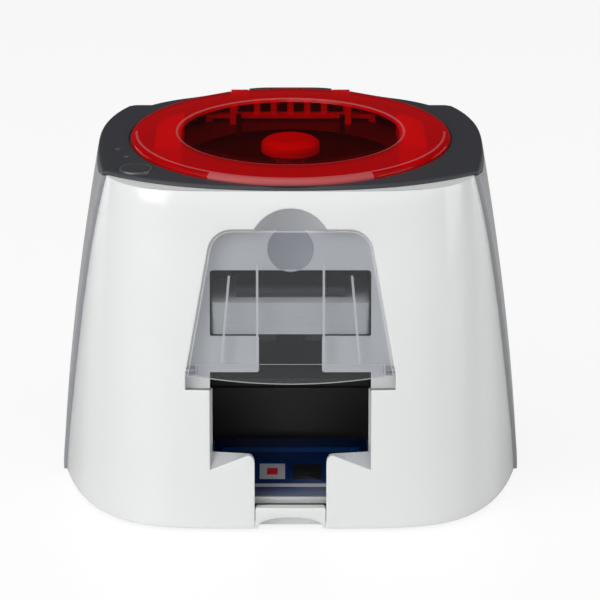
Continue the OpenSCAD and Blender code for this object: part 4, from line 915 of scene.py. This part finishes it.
def rear_face(u, z):
    """u runs to the left seen from behind, so from +X to -X, and round the corners."""
    u, z = np.broadcast_arrays(np.asarray(u, float), np.asarray(z, float))
    c = REAR_TURN * half_w(z)
    beyond = np.maximum(0, np.abs(u) - c)
    y_corner = rear_y(c, z)
    x = np.where(beyond > 0, -np.sign(u) * rear_x(y_corner - beyond, z), -u)
    return np.stack([x, np.where(beyond > 0, y_corner - beyond, rear_y(u, z)), z], -1)


def rear_border(z):
    c = REAR_TURN * half_w(z)
    return c + rear_y(c, z) - REAR_SEAM


rear_top = float(under_skirt(95.0, REAR_SEAM))
rising = np.linspace(FOOT, rear_top, 44)
across = np.linspace(float(rear_border(rear_top)), -float(rear_border(rear_top)), 80)[1:-1]
edge_z = np.full(across.shape, rear_top)
for _ in range(12):
    edge = rear_face(across, edge_z)
    edge_z = under_skirt(edge[..., 0], edge[..., 1])
foot_u = float(rear_border(FOOT))
rear_loop = np.concatenate([np.stack([np.linspace(-foot_u, foot_u, 90)[1:-1], np.full(88, FOOT)], 1),
                            np.stack([rear_border(rising), rising], 1), np.stack([across, edge_z], 1),
                            np.stack([-rear_border(rising[::-1]), rising[::-1]], 1)])
holes = []
for k in range(VENTS):
    x = VENT_PITCH * (k - VENTS // 2)
    slot_line = [(x + VENT_R * math.cos(a), VENT_TOP + VENT_R * math.sin(a))
                 for a in np.linspace(math.pi, 0, 7)]
    slot_line += [(x + VENT_R * math.cos(a), VENT_LOW + VENT_R * math.sin(a))
                  for a in np.linspace(0, -math.pi, 7)]
    holes.append(spaced(slot_line, 3))
corners = [(DATA_U[0], DATA_Z[0]), (DATA_U[0], DATA_Z[1]), (DATA_U[1], DATA_Z[1]), (DATA_U[1], DATA_Z[0])]
holes.append(spaced(rounded(corners, [1] * 4, 3), 3))
holes.append(np.array([(POWER_HOLE[0] + POWER_R * math.cos(a), POWER_HOLE[1] + POWER_R * math.sin(a))
                       for a in np.linspace(0, -2 * math.pi, 25)[:-1]]))
rear = Build()
shell(rear, off_face(rear_face), [rear_loop] + holes, 6.5, 0.3, WALL)
rear.object("back_wall", silver_lacquer, replaces=["rear_shell"])
print("openings in the back:", len(holes))

# %% [markdown]
# ## Top bezel
# The dark bezel is a flat sloping ring. Its outer edge rounds over to the front's top edge,
# and behind the seam it wraps a few millimetres down the sides. A step inside the round
# opening carries the lid.

# %% Top bezel
LID_V, LID_R, LID_GAP, BEZEL_T = 93.3, 90.0, 0.9, 2.0
HINGE_V, HINGE_H, HINGE_X, SLOT_HALF = LID_V + LID_R + LID_GAP + 4.5, -2.5, 30.0, 5.5
SLOT_FRONT = HINGE_V - 2.6 - 1.5
BUTTON, BUTTON_HOLE = (-84.2, 31.7), 8.2
LAMPS, LAMP_HOLE = [(-96.0, 67.8), (-90.5, 53.4)], 1.95
SIDE_LIMIT = 110.0


def edge_point(kind, s, z):
    """A point of the housing's outline at height z: over the front, along a side, or at the back."""
    if kind == "front":
        p = front_face(s * front_border(z), z)
        back = TOP_Y + float(edge_v(p[0])) * math.cos(SLOPE)
        return p[0], max(float(p[1]) + float(crescent(p[0], z)), back)
    if kind == "side":
        y = float(seam_y(z)) + (REAR_SEAM - float(seam_y(z))) * abs(s)
        return math.copysign(float(side_x(y, z)), s), y
    c = EDGE_TURN * half_w(z)
    if abs(s) < c:
        return s, float(rear_y(s, z))
    start = float(rear_y(c, z))
    y = start + (REAR_SEAM - start) * (abs(s) - c) / (SIDE_LIMIT - c)
    return math.copysign(float(rear_x(y, z)), s), y


slots_x = [HINGE_X - SLOT_HALF, HINGE_X + SLOT_HALF]
back_x = sorted(set(np.round(np.concatenate([np.linspace(0, SIDE_LIMIT, 46), slots_x]), 3)))
keys = [("front", s) for s in np.linspace(-1, 1, 121)[:-1]]
keys += [("side", s) for s in np.linspace(0.004, 1, 26)[:-1]]
keys += [("back", x) for x in back_x[::-1]] + [("back", -x) for x in back_x[1:]]
keys += [("side", -s) for s in np.linspace(1, 0.004, 26)[1:]]


def level_z(x, y, h):
    """Height of the bezel's level h. Levels below 0 belong to the skirt and follow its taper."""
    return plane_z(y, h if h >= 0 else h / SKIRT * skirt_h(y)) - sink(x, y)


def bezel_ring(amount, h):
    """The outline where the plane h above the slope cuts the housing, moved inward."""
    out = []
    for kind, s in keys:
        z = 190.0
        for _ in range(7):
            x, y = edge_point(kind, s, z)
            z = float(level_z(x, y, h))
        out.append((x, y, z))
    ring = np.array(out)
    ring[:, :2] = inset(ring[:, :2], amount)
    ring[:, 2] = level_z(ring[:, 0], ring[:, 1], h)
    return ring


def flat(ring):
    """Points of the sloping top as (x, v)."""
    up = ring[:, 2] + sink(ring[:, 0], ring[:, 1]) - FRONT_H
    return np.stack([ring[:, 0], (ring[:, 1] - TOP_Y) * math.cos(SLOPE) + up * math.sin(SLOPE)], 1)


def deck(x, v, h):
    """A point of the bezel's own top, which sinks beside and behind the lid."""
    point = on_top(x, v, h)
    point[..., 2] -= sink(point[..., 0], point[..., 1])
    return point


print("points round the bezel:", len(keys))

# %% [markdown]
# Rings of points climb the skirt and roll over the edge. The two slots for the lid's arms are
# left open in them, and the outline of the flat top turns into each slot and out again.

# %% Bezel's skirt and edge
profile = [(0, 0), (0.05, 0.5), (0.25, 1.1), (0.6, 1.55), (1.1, 1.85), (1.8, BEZEL_T)]
rings = [bezel_ring(d, h) for d, h in profile]
skirt = [bezel_ring(WALL, -SKIRT), bezel_ring(0.2, -SKIRT), bezel_ring(0, -SKIRT + 0.25)]
in_slot = np.array([kind == "back" and slots_x[0] - 0.01 <= abs(s) <= slots_x[1] + 0.01 for kind, s in keys])
behind = np.array([kind != "front" for kind, s in keys])
bezel = Build()
starts = [bezel.put(ring) for ring in skirt + rings]
count = len(keys)
for level, (a, b) in enumerate(zip(starts, starts[1:])):
    for k in range(count):
        m = (k + 1) % count
        in_front = not (behind[k] and behind[m])
        if (in_slot[k] and in_slot[m]) or (level < len(skirt) and in_front):
            continue
        bezel.face((a + k, a + m, b + m, b + k))
top_line, brim = [], flat(rings[-1])
slot_end = {x: brim[np.argmin(np.abs(brim[:, 0] - x) + 999 * (brim[:, 1] < LID_V)), 1] for x in slots_x}
for k, p in enumerate(brim):
    if in_slot[k]:
        at = abs(keys[k][1])
        edge = min(slots_x, key=lambda value: abs(value - at))
        if abs(edge - at) > 0.02:
            continue
        x = math.copysign(edge, p[0])
        pair = [(x, p[1]), (x, SLOT_FRONT)]
        top_line += pair if (edge == slots_x[1]) == (p[0] > 0) else pair[::-1]
    else:
        top_line.append(tuple(p))
top_line = np.array(top_line)
print("outline points of the bezel's top:", len(top_line))

# %% [markdown]
# The flat top is filled round the openings for the lid, the button and the two lamps. Each
# opening gets a softened edge, and a low collar carries the lid's ring where the top sinks.

# %% Bezel's top and openings
def circle(x, v, r, n=96):
    """A hole's outline, walked clockwise."""
    return np.array([(x + r * math.cos(a), v - r * math.sin(a)) for a in np.arange(n) * 2 * math.pi / n])


COLLAR = LID_R + 2.9
openings = [circle(0, LID_V, COLLAR), circle(*BUTTON, BUTTON_HOLE, 40)]
openings += [circle(*spot, LAMP_HOLE, 20) for spot in LAMPS]
points, faces = filled([top_line] + openings, 4.0)
bezel.fill(deck(points[:, 0], points[:, 1], BEZEL_T), faces)
collar_top = on_top(*circle(0, LID_V, COLLAR).T, BEZEL_T)
collar_foot = deck(*circle(0, LID_V, COLLAR).T, BEZEL_T)
collar_edge = collar_top - np.minimum(0.4, collar_top - collar_foot)
bezel.strips([collar_foot, collar_edge, on_top(*circle(0, LID_V, LID_R + 2.5).T, BEZEL_T),
              on_top(*circle(0, LID_V, LID_R + 1.5).T, BEZEL_T)], flip=True)
steps = [(1.5, BEZEL_T), (1.2, 1.92), (0.98, 1.7), (LID_GAP, 1.4), (LID_GAP, 0.9), (-6, 0.9), (-6, -SKIRT)]
bezel.strips([on_top(*circle(0, LID_V, LID_R + d).T, h) for d, h in steps], flip=True)
for (x, v), r, n in [(BUTTON, BUTTON_HOLE, 40)] + [(spot, LAMP_HOLE, 20) for spot in LAMPS]:
    grow = [(0, BEZEL_T), (-0.2, 1.9), (-0.3, 1.6), (-0.3, -SKIRT)]
    bezel.strips([on_top(*circle(x, v, r + d, n).T, h) for d, h in grow], flip=True)
for side in (1, -1):
    for x, flip in ((slots_x[0], side > 0), (slots_x[1], side < 0)):
        levels = [(profile[-1][0], -SKIRT)] + [(profile[-1][0] - d, h) for d, h in profile]
        bezel.strips([[deck(side * x, v, h) for v in (SLOT_FRONT, slot_end[x] + out)] for out, h in levels],
                     closed=False, flip=flip)
    cross = [(side * slots_x[0], SLOT_FRONT), (side * slots_x[1], SLOT_FRONT)]
    bezel.strips([[deck(px, pv, h) for px, pv in cross] for h in (-SKIRT, BEZEL_T)],
                 closed=False, flip=side > 0)
under = inset(top_line, 1.5)
points, faces = filled([under, circle(0, LID_V, LID_R - 6), circle(*BUTTON, BUTTON_HOLE - 0.3, 40)], 7.0)
bezel.fill(deck(points[:, 0], points[:, 1], -0.05), faces, flip=True)
bezel_piece = bezel.object("bezel_ring", anthracite,
                           replaces=["top_bezel"], sharp=34)
print("bezel faces:", len(bezel_piece.data.polygons))

# %% [markdown]
# ## Lid
# The lid is turned about its own axis: a raised rim, a fine ridge where it steps down to the
# sunk window, and a thin wall throughout. Two arms reach back to the hinge pins.

# %% Lid
def lathe(build, profile, turn, steps=144, mark=0):
    """Spin a profile of (radius, height) about an axis. turn maps (x, v, height) to points."""
    angles = np.arange(steps) * 2 * math.pi / steps
    rings = [turn(r * np.cos(angles), r * np.sin(angles), h) for r, h in profile if r > 0.01]
    marks = mark if isinstance(mark, list) else [mark] * (len(rings) - 1)
    for k in range(len(rings) - 1):
        build.strips([rings[k], rings[k + 1]], mark=marks[k])
    for end, ring in ((0, rings[0]), (-1, rings[-1])):
        if profile[end][0] <= 0.01:
            first = build.put(ring)
            centre = build.put([turn(0.0, 0.0, profile[end][1]).reshape(3)])
            for k in range(steps):
                a, b = first + k, first + (k + 1) % steps
                build.face((centre, b, a) if end == 0 else (centre, a, b), marks[end])


def at_lid(x, v, h):
    return on_top(x, np.asarray(v) + LID_V, h)


def rim_height(r):
    """The rim is faintly domed between its two ridges."""
    return 5.5 - 0.55 * max(0, (r - 66) / 20) ** 1.6


WINDOW_TOP, WINDOW_LOW = 3.6, 1.8
rim_top = [(r, rim_height(r)) for r in (64.6, 66, 69, 73, 77, 81, 84, 86)]
outside = [(90, 1.25), (90, 2.2), (89.8, 2.9), (89.2, 3.7), (88.3, 4.3), (87.2, 4.75)] + rim_top[::-1]
outside += [(64.0, 5.4), (63.3, 5.1), (62.5, 4.4), (61.9, 3.85), (61.3, 3.65)]
outside += [(r, WINDOW_TOP) for r in (60.4, 40, 20, 0)]
inside = [(r, WINDOW_LOW) for r in (0, 20, 40, 62.2)]
inside += [(63.4, 3.1), (64.4, 3.45), (85, 3.1), (87.4, 2.7), (88, 1.4), (88, 1.25), (90, 1.25)]
lid = Build()
# Mark 2 on the inner ridge is a painted highlight; mark 1 is the etched rim.
rim_and_highlight_marks = [2 if 63.5 < r < 65 else 1 if r > 62.4 else 0 for r, h in outside[:-1]][:-1]
lathe(lid, outside, at_lid, mark=rim_and_highlight_marks)
# At the front, the outer edge and the outer ridge get the painted highlight as well.
for k, face in enumerate(lid.faces):
    x, y, z = np.mean([lid.points[i] for i in face], 0)
    v = (y - TOP_Y) / math.cos(SLOPE) - LID_V
    out = math.hypot(x, v)
    if v < 0 and (abs(x) < 45 and out > 87.3 or 86.1 < out < 87.3):
        lid.marks[k] = 2
lathe(lid, inside, at_lid, mark=[0 if r < 62.4 else 1 for r, h in inside[1:]][:-1])
print("faces of the lid so far:", len(lid.faces))

# %% [markdown]
# Each arm is a bent bar of constant width, drawn from the side. It dips behind the rim and
# ends in a hook round the hinge pin.

# %% Lid arms
ARM_V = math.sqrt(LID_R ** 2 - 35 ** 2) + LID_V - 4
hook = [(-2.6, 0), (0, -0.4), (2.2, 0.6), (2.4, 1.6), (1.2, 2.6)]
arm = [(ARM_V, 2.5), (HINGE_V - 2.6, 2.5)] + [(HINGE_V + dv, HINGE_H + dh) for dv, dh in hook]
arm += [(HINGE_V - 2, 2.2), (HINGE_V - 5, 3.1), (ARM_V, 4.0)]
arm = rounded(arm, [0] + [0.8] * 7 + [1.2, 0], 4)
layers = [(-5, 0.35), (-4.65, 0), (4.65, 0), (5, 0.35)]
for side in (1, -1):
    rings = [on_top(side * HINGE_X + dx, *inset(arm, d).T) for dx, d in layers]
    lid.strips(rings, flip=True, mark=1, caps=True)
lid_piece = lid.object("lid_dome", [red_window, red_rim, red_painted_highlight], body="lid",
                       replaces=["lid"], sharp=50)
print("faces of the lid:", len(lid_piece.data.polygons))

# %% [markdown]
# ## Feeder door
# A flat smoked plate with round upper corners. Below the fold it bulges out into a grip lip
# whose edge catches the light. The plate's rolled edges, the lip's tip and the ribs carry a
# painted highlight. Barrels at its foot turn on the pins, and thin ribs stiffen it inside.

# %% Feeder door
DOOR_T, DOOR_FOOT, LIP_TOP, LIP_HALF, LIP_BULGE, LIP_DROP = 2.2, 2.2, 4.5, 50.5, 5.0, 3.4
# Each rib: x at its foot, lean in degrees, top and depth. Each barrel: x and radius along it.
RIBS = ((17.9, 0, 58, 2.2), (37.2, 5, 52, 1.9))
BARREL = ((50.0, 2.1), (50.3, 2.5), (55.2, 2.5), (55.5, 2.2), (55.5, 1.25))
BARREL_H, BARREL_DEPTH = 0.8, 2.6


def on_plate(x, h, depth):
    return on_door(x, h, np.asarray(depth, float) - 0.2)


def lip_ring(j, depth):
    """A line across the grip lip, from its edge at j = 0 to the fold at j = 1."""
    x = np.linspace(-LIP_HALF, LIP_HALF, 49)
    f = 1 - (x / LIP_HALF) ** 2
    h = (1 - j) * (-DOOR_FOOT - LIP_DROP * f) + j * LIP_TOP
    return on_door(x, h, -LIP_BULGE * f * (1 - j) ** 1.25 + depth)


door = Build()
plate = door_outline(0)
plate[0], plate[-1] = (plate[0][0], -DOOR_FOOT), (plate[-1][0], -DOOR_FOOT)
low_line = [(-LIP_HALF, -DOOR_FOOT), (-LIP_HALF, LIP_TOP - 0.3)]
low_line += [(LIP_HALF, LIP_TOP - 0.3), (LIP_HALF, -DOOR_FOOT)]
plate = spaced(np.concatenate([low_line, plate]), 3)
# Mark 1, the plate's rolled edges here, gets the painted highlight.
shell(door, on_plate, [plate], 5, 0.35, DOOR_T, rim=1)
front_rings = [lip_ring(j, -0.2) for j in np.linspace(1, 0, 9)]
tip = [lip_ring(0, -0.2 + d) - np.array([0, 0, drop]) for d, drop in ((0.3, 0.25), (1.1, 0.4), (1.8, 0.25))]
back_rings = [lip_ring(j, DOOR_T - 0.2) for j in np.linspace(0, 1, 9)]
door.strips(front_rings, closed=False, flip=True)
# The lip's tip gets the painted highlight.
door.strips(front_rings[-1:] + tip + back_rings[:1], closed=False, flip=True, mark=1)
door.strips(back_rings, closed=False, flip=True)
for side in (1, -1):
    for x, lean, top, deep in RIBS:
        slope = math.tan(math.radians(lean))
        section = ((-0.65, 0), (0.65, 0), (0.5, deep), (-0.5, deep))
        rings = []
        for h in (LIP_TOP, top - 2, top):
            middle = x - slope * (h - LIP_TOP)
            rings.append([on_door(side * (middle + dx), h, DOOR_T - 0.4 + dy) for dx, dy in section])
        # The ribs get the painted highlight too.
        door.strips(rings, flip=side > 0, mark=1, caps=True)
    turn = np.linspace(0, 2 * math.pi, 25)[:-1]
    rings = [on_door(side * x, BARREL_H + r * np.cos(turn), BARREL_DEPTH + r * np.sin(turn))
             for x, r in BARREL]
    door.strips(rings, flip=side < 0)
door_piece = door.object("door_flap", [smoked, smoked_painted_highlight], body="feeder_door",
                         replaces=["feeder_door"], sharp=40)
print("door faces:", len(door_piece.data.polygons))

# %% [markdown]
# ## Pieces under the lid
# Through the lid one sees a grey ring and pale pads beside the ribbon bay, and at its rear end
# two posts and a bar with cooling fins. Two black sheets are put in as painted shade: one in
# front of the bay keeps the red light off the feeder, and one closes the chute behind the card tray.

# %% Ring and pads beside the ribbon bay
def top_box(build, x, v, h):
    """A block in the frame of the sloping top, each range as (low, high)."""
    xs, vs = np.array([x[0], x[1], x[1], x[0]]), np.array([v[0], v[0], v[1], v[1]])
    build.strips([on_top(xs, vs, level) for level in h], caps=True)


PAD_X, PAD_V, PAD_H = (61.6, 76.4), (80, 148), (-12, -0.7)
POST_X, POST_V, POST_H = (31, 35.5), (162, 165), (-16, -1)
surround = Build()
turn = np.linspace(0, 2 * math.pi, 97)[:-1]
section = ((62, -13), (88, -13), (88, -12), (62.3, -12), (62, -12.3), (62, -13))
surround.strips([on_top(r * np.cos(turn), LID_V + r * np.sin(turn), h) for r, h in section])
surround.object("bay_surround", mid_grey_abs)
pads = Build()
for side in (1, -1):
    top_box(pads, sorted(side * x for x in PAD_X), PAD_V, PAD_H)
    top_box(pads, sorted(side * x for x in POST_X), POST_V, POST_H)
pads.object("bay_pads", pale_abs)
print("pads and posts, in faces:", len(pads.faces))

# %% Cooling fins and black sheets of painted shade
FINS, FIN_PITCH, FIN_HALF, FIN_V, FIN_H = 5, 9.85, 1.8, (169.5, 173.5), (-8.2, 0.7)
# Opposite corners of the black sheets of painted shade, before the bay and behind the tray.
SHADE_SHEET_BAY = (-58, -94, 166), (58, -43, 167.5)
SHADE_SHEET_CHUTE = (-46, -48.9, 56), (46, -48.2, 66)
fins = Build()
top_box(fins, (-50, 50), (168, 174), (-10, -7.6))
for side in (1, -1):
    top_box(fins, sorted((side * 46, side * 50)), (169, 173), (-16, -9))
for k in range(FINS):
    x = FIN_PITCH * (k - FINS // 2)
    top_box(fins, (x - FIN_HALF, x + FIN_HALF), FIN_V, FIN_H)
fins.object("bay_fins", pale_abs, replaces=["cooling_fins"])
# Black sheets put in only to make shade.
dark = Build()
dark.box(*SHADE_SHEET_BAY)
dark.box(*SHADE_SHEET_CHUTE)
dark.object("painted_shade_sheets", black_abs)
print("fins:", FINS, "faces of the shade sheets:", len(dark.faces))

# %% [markdown]
# ## Output lip
# A small white bridge closes the foot of the card notch. A wide low arch is cut into it, and a
# plain panel behind the arch hides the tray.

# %% Output lip
LIP_W, LIP_TOP_Z, ARCH_W, ARCH_Z = 19.1, 13.2, 17.6, 7.7
# The lip from its face back: place and how far the edge is drawn in there.
LIP_LAYERS = ((-118.2, 0.45), (-118.05, 0.15), (-117.7, 0), (-112.5, 0))
ARCH_PANEL = (-19, -111.2, FOOT), (19, -110.8, 11.4)
turns = np.linspace(0, math.pi, 33)
arch = [(ARCH_W * math.cos(a), FOOT + (ARCH_Z - FOOT) * math.sin(a) ** 0.8) for a in turns]
corners = [(-LIP_W, FOOT), (-LIP_W, LIP_TOP_Z), (LIP_W, LIP_TOP_Z), (LIP_W, FOOT)]
outline = rounded(corners, [0, 1.6, 1.6, 0], 5)
lip_line = np.concatenate([outline[::-1], np.array(arch)[::-1]])
lip = Build()
rings = []
for y, d in LIP_LAYERS:
    flat_line = inset(lip_line, d)
    rings.append([(x, y, z) for x, z in flat_line])
lip.strips(rings, caps=True)
lip.box(*ARCH_PANEL)
lip.object("notch_lip", gloss_white, replaces=["output_lip"])
print("output lip faces:", len(lip.faces))

# %% [markdown]
# ## Cards
# A card is a thin plate with round corners. Its edges are softened a little, so that the cards
# of a stack stay visible as fine lines.

# %% One card
CARD_W, CARD_L, CARD_T, CARD_CORNER = 85.6, 54.0, 0.76, 3.2


def card(build, turn, level, face_mark=0):
    """One card with round corners and softened edges. turn maps (x, y, height) to points."""
    half = CARD_W / 2
    outline = rounded([(-half, 0), (half, 0), (half, CARD_L), (-half, CARD_L)], [CARD_CORNER] * 4, 6)
    layers = [(0.08, 0.02), (0.0, 0.1), (0.0, CARD_T - 0.12), (0.1, CARD_T - 0.02)]
    rings = [turn(*inset(outline, d).T, level + h) for d, h in layers]
    build.strips(rings)
    first = build.put(rings[0])
    build.face([first + k for k in range(len(outline))][::-1])
    first = build.put(rings[-1])
    build.face([first + k for k in range(len(outline))], face_mark)


print("card in mm:", CARD_W, CARD_L, CARD_T)

# %% [markdown]
# The print is a made-up layout of plain boxes on a navy field. Dye printing under a clear
# overlay gives smooth colour with a gentle gloss. Each box is worked out by comparing the
# place on the card with its edges, so it stays sharp at any distance.

# %% Card print
def card_print():
    """The printed face: x runs from the card's middle, y from its front edge, in millimetres."""
    material, tree = new_material("printed card face")
    place = add(tree, "TexCoord")
    parts = add(tree, "SeparateXYZ", feeds={"Vector": place.outputs["UV"]})

    def compare(kind, a, b):
        node = add(tree, "Math", operation=kind)
        for socket, value in zip(node.inputs, (a, b)):
            if isinstance(value, (int, float)):
                socket.default_value = value
            else:
                tree.links.new(value, socket)
        return node.outputs[0]

    x, y = parts.outputs[0], parts.outputs[1]

    def between(value, low, high):
        return compare("MULTIPLY", compare("GREATER_THAN", value, low), compare("LESS_THAN", value, high))

    def box_mask(x0, x1, y0, y1):
        return compare("MULTIPLY", between(x, x0, x1), between(y, y0, y1))

    colour = add(tree, "RGB")
    colour.outputs[0].default_value = linear("#04204c")
    out = colour.outputs[0]
    fields = [(box_mask(-38, 38, 8, 11), "#9a9ca2"), (box_mask(-17, -3, 15, 29), "#9a9ca2"),
              (box_mask(-13, -7, 19, 25), "#b01c24"), (box_mask(1, 17, 15, 29), "#15161c"),
              (box_mask(-38, 38, 40, 44), "#123f7c")]
    for mask, tint in fields:
        layer = add(tree, "Mix", {"B": linear(tint)}, {"Factor": mask, "A": out}, data_type="RGBA")
        out = layer.outputs["Result"]
    sheen = add(tree, "TexNoise", {"Scale": 300.0, "Detail": 2.0}, {"Vector": place.outputs["Object"]})
    rough = add(tree, "MapRange", {"To Min": 0.2, "To Max": 0.3}, {"Value": sheen.outputs[0]})
    body = add(tree, "BsdfPrincipled", {"IOR": 1.54, "Coat Weight": 0.25},
               {"Base Color": out, "Roughness": rough.outputs[0]})
    add(tree, "OutputMaterial", feeds={"Surface": body.outputs[0]})
    return material


print_face = card_print()
print("nodes in the card print:", len(print_face.node_tree.nodes))

# %% [markdown]
# The blank cards lie flat in the feeder, and the printed ones lean in the mouth. Small random
# shifts from a fixed seed keep the stacks from looking cut from one block.

# %% Card stacks
BLANKS, PRINTED = 23, 7
PATH_Z, OUT_Z, OUT_LEAN = 105.5, 12.2, math.radians(19)
CARD_PLAY, PILE_PLAY = (0.12, 0.18), (0.15, 0.2)
OUT_FRONT = float(front_y(0.0, OUT_Z)) + 9.8
WALL_BACK = (PAN_DEPTH + WALL + GAP) / math.cos(DOOR_LEAN)
STACK_FRONT = DOOR_Y + (PATH_Z - 2.5 - DOOR_Z) * math.tan(DOOR_LEAN) + WALL_BACK + 1.2


def in_stack(x, y, h):
    return np.stack([x, STACK_FRONT + y, PATH_Z + h + 0 * x], -1)


def in_mouth(x, y, h):
    ahead, up = y - 0 * x, h + 0 * x
    return np.stack([x, OUT_FRONT + 0.6 + ahead * math.cos(OUT_LEAN) - up * math.sin(OUT_LEAN),
                     OUT_Z - 0.6 + ahead * math.sin(OUT_LEAN) + up * math.cos(OUT_LEAN)], -1)


shuffle = random.Random(7)
blanks = Build()
for k in range(BLANKS):
    dx, dy = shuffle.uniform(-CARD_PLAY[0], CARD_PLAY[0]), shuffle.uniform(0, CARD_PLAY[1])
    card(blanks, lambda x, y, h: in_stack(x + dx, y + dy, h), k * CARD_T)
blanks.object("card_stack", pvc_card, replaces=["blank_cards"], sharp=60, merge=0.001)
printed = Build()
for k in range(PRINTED):
    dx, dy = shuffle.uniform(-PILE_PLAY[0], PILE_PLAY[0]), shuffle.uniform(0, PILE_PLAY[1])
    card(printed, lambda x, y, h: in_mouth(x + dx, y + dy, h), k * CARD_T, 1)
printed_piece = printed.object("card_pile", [pvc_card, print_face],
                               replaces=["printed_cards"], sharp=60, merge=0.001)
pile = printed_piece.data
uv = pile.uv_layers.new(name="face")
for item, corner in zip(uv.data, pile.loops):
    place = pile.vertices[corner.vertex_index].co
    item.uv = (place.x / MM, (place.y / MM - OUT_FRONT) / math.cos(OUT_LEAN))
print("cards:", BLANKS, "blank and", PRINTED, "printed")

# %% [markdown]
# ## The pieces that keep their solid form
# Everything inside keeps its solid mesh. Each node gets the finish of the real piece and a
# small rounding on its edges, so no edge is razor sharp.

# %% Finishes and edges of the inner pieces
FINISH = {
    "white_gloss_plastic": gloss_white, "silver_grey_plastic": silver_lacquer,
    "anthracite_plastic": anthracite, "black_plastic": black_abs, "dark_grey_plastic": grey_abs,
    "pale_grey_plastic": pale_abs, "orange_plastic": orange_abs, "ivory_acetal": acetal,
    "clear_red_plastic": red_window, "clear_grey_plastic": smoked, "clear_lens_plastic": lens_plastic,
    "white_card_pvc": pvc_card, "printed_card_pvc": pvc_card, "dark_ribbon_film": ribbon_film,
    "black_rubber": feet_rubber, "grey_rubber": roller_rubber, "blue_silicone": silicone,
    "zinc_plated_steel": plated_steel, "plated_socket_shell": plated_steel, "ground_steel": bright_steel,
    "spring_steel": spring_steel, "chromed_plastic": chrome, "brass": brass,
    "ceramic_head": milled_head, "circuit_board": solder_mask}
ROUNDING = {"base_tray": 0.5, "rubber_feet": 0.4, "lock_knob": 0.5, "power_button": 0.5,
            "button_ring": 0.2, "output_tray": 0.35, "output_lip": 0.5, "head_bridge": 0.4,
            "cooling_fins": 0.35, "feeder_tray": 0.4, "card_guide": 0.4,
            "button_spring": 0, "head_springs": 0, "ribbon_film": 0}
slot_of = {row["node"]: row["material_slot"] for row in frame["record"]["subparts"]}
for name, node in nodes.items():
    node.data.materials.clear()
    node.data.materials.append(FINISH[slot_of[name]])
    width = ROUNDING.get(name, 0.25)
    if width and not node.hide_render:
        edge = node.modifiers.new("edge", "BEVEL")
        edge.width = width * MM
        edge.segments = 2
        edge.limit_method = "ANGLE"
        edge.angle_limit = math.radians(40)
        edge.harden_normals = False
print("nodes with a finish:", len(nodes))

# %% [markdown]
# ## Floor and light
# The object stands on a plain pale floor. Seen by the camera the floor is almost white and
# keeps a soft shadow, because a part of it is its own even glow.

# %% Floor
FLOOR_HALF, FLOOR_Z = 4, -0.0002
floor_mesh = bpy.data.meshes.new("floor")
corners = [(x * FLOOR_HALF, y * FLOOR_HALF, FLOOR_Z) for x, y in ((-1, -1), (1, -1), (1, 1), (-1, 1))]
floor_mesh.from_pydata(corners, [], [(0, 1, 2, 3)])
floor = bpy.data.objects.new("floor", floor_mesh)
scene.collection.objects.link(floor)
material, tree = new_material("pale studio floor")
seen = add(tree, "LightPath")
body = add(tree, "BsdfPrincipled", {"Base Color": (0.86, 0.86, 0.86, 1), "Roughness": 0.32, "IOR": 1.4})
white = add(tree, "Emission", {"Color": (1, 1, 1, 1), "Strength": 1.08})
share = add(tree, "Math", {1: 0.8}, {0: seen.outputs["Is Camera Ray"]}, operation="MULTIPLY")
mixed = add(tree, "MixShader", feeds={0: share.outputs[0], 1: body.outputs[0], 2: white.outputs[0]})
add(tree, "OutputMaterial", feeds={"Surface": mixed.outputs[0]})
floor_mesh.materials.append(material)
floor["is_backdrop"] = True
print("floor width in m:", 2 * FLOOR_HALF)

# %% [markdown]
# The room is what the gloss mirrors. It is paler on the left, and dark towards the back, so the
# sloping top, which mirrors the back of the room, stays dark.

# %% Room
world = bpy.data.worlds.new("studio")
world.use_nodes = True
scene.world = world
tree = world.node_tree
tree.nodes.clear()
place = add(tree, "TexCoord")
direction = add(tree, "SeparateXYZ", feeds={0: place.outputs["Generated"]})
across = add(tree, "MapRange", {"From Min": -1.0, "From Max": 1.0, "To Min": 0.95, "To Max": 0.6},
             {"Value": direction.outputs[0]})
away = add(tree, "MapRange", {"From Min": -0.5, "From Max": 0.45, "To Min": 1.0, "To Max": 0.06},
           {"Value": direction.outputs[1]})
level = add(tree, "Math", feeds={0: across.outputs[0], 1: away.outputs[0]}, operation="MULTIPLY")
sky = add(tree, "Background", {"Color": (1, 1, 1, 1)}, {"Strength": level.outputs[0]})
backdrop = add(tree, "Background", {"Color": (1, 1, 1, 1), "Strength": 1.0})
seen = add(tree, "LightPath")
room = add(tree, "MixShader",
           feeds={0: seen.outputs["Is Camera Ray"], 1: sky.outputs[0], 2: backdrop.outputs[0]})
add(tree, "OutputWorld", feeds={"Surface": room.outputs[0]})
print("nodes in the room:", len(tree.nodes))

# %% [markdown]
# The key light stands at the front left, a fill at the right and one light above. Two low ones
# behind reach the back, from the sides, so the sloping top doesn't mirror them to the camera.

# %% Lights
def soft_light(name, place, size, power):
    """A square soft light that looks at the object."""
    data = bpy.data.lights.new(name, "AREA")
    data.shape, data.size, data.energy = "SQUARE", size, power
    light = bpy.data.objects.new(name, data)
    light.location = place
    light.rotation_euler = (Vector((0, 0, 0.1)) - Vector(place)).to_track_quat("-Z", "Y").to_euler()
    scene.collection.objects.link(light)


soft_light("key", (-0.95, -1.05, 0.7), 0.8, 6.0)
soft_light("fill", (1.6, -0.35, 0.5), 0.9, 4.4)
soft_light("top", (-0.3, -0.1, 1.9), 0.8, 4.5)
soft_light("rear left", (-1.45, 1.15, 0.3), 0.8, 3.2)
soft_light("rear right", (1.45, 1.15, 0.3), 0.8, 2.6)

# %% [markdown]
# The rebuilt surfaces stay within the solids' box. The last line prints the box of what is seen.

# %% Size
look_box = [list(corner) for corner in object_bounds()]
print("visual box in mm:", [[round(c / MM, 1) for c in corner] for corner in look_box])
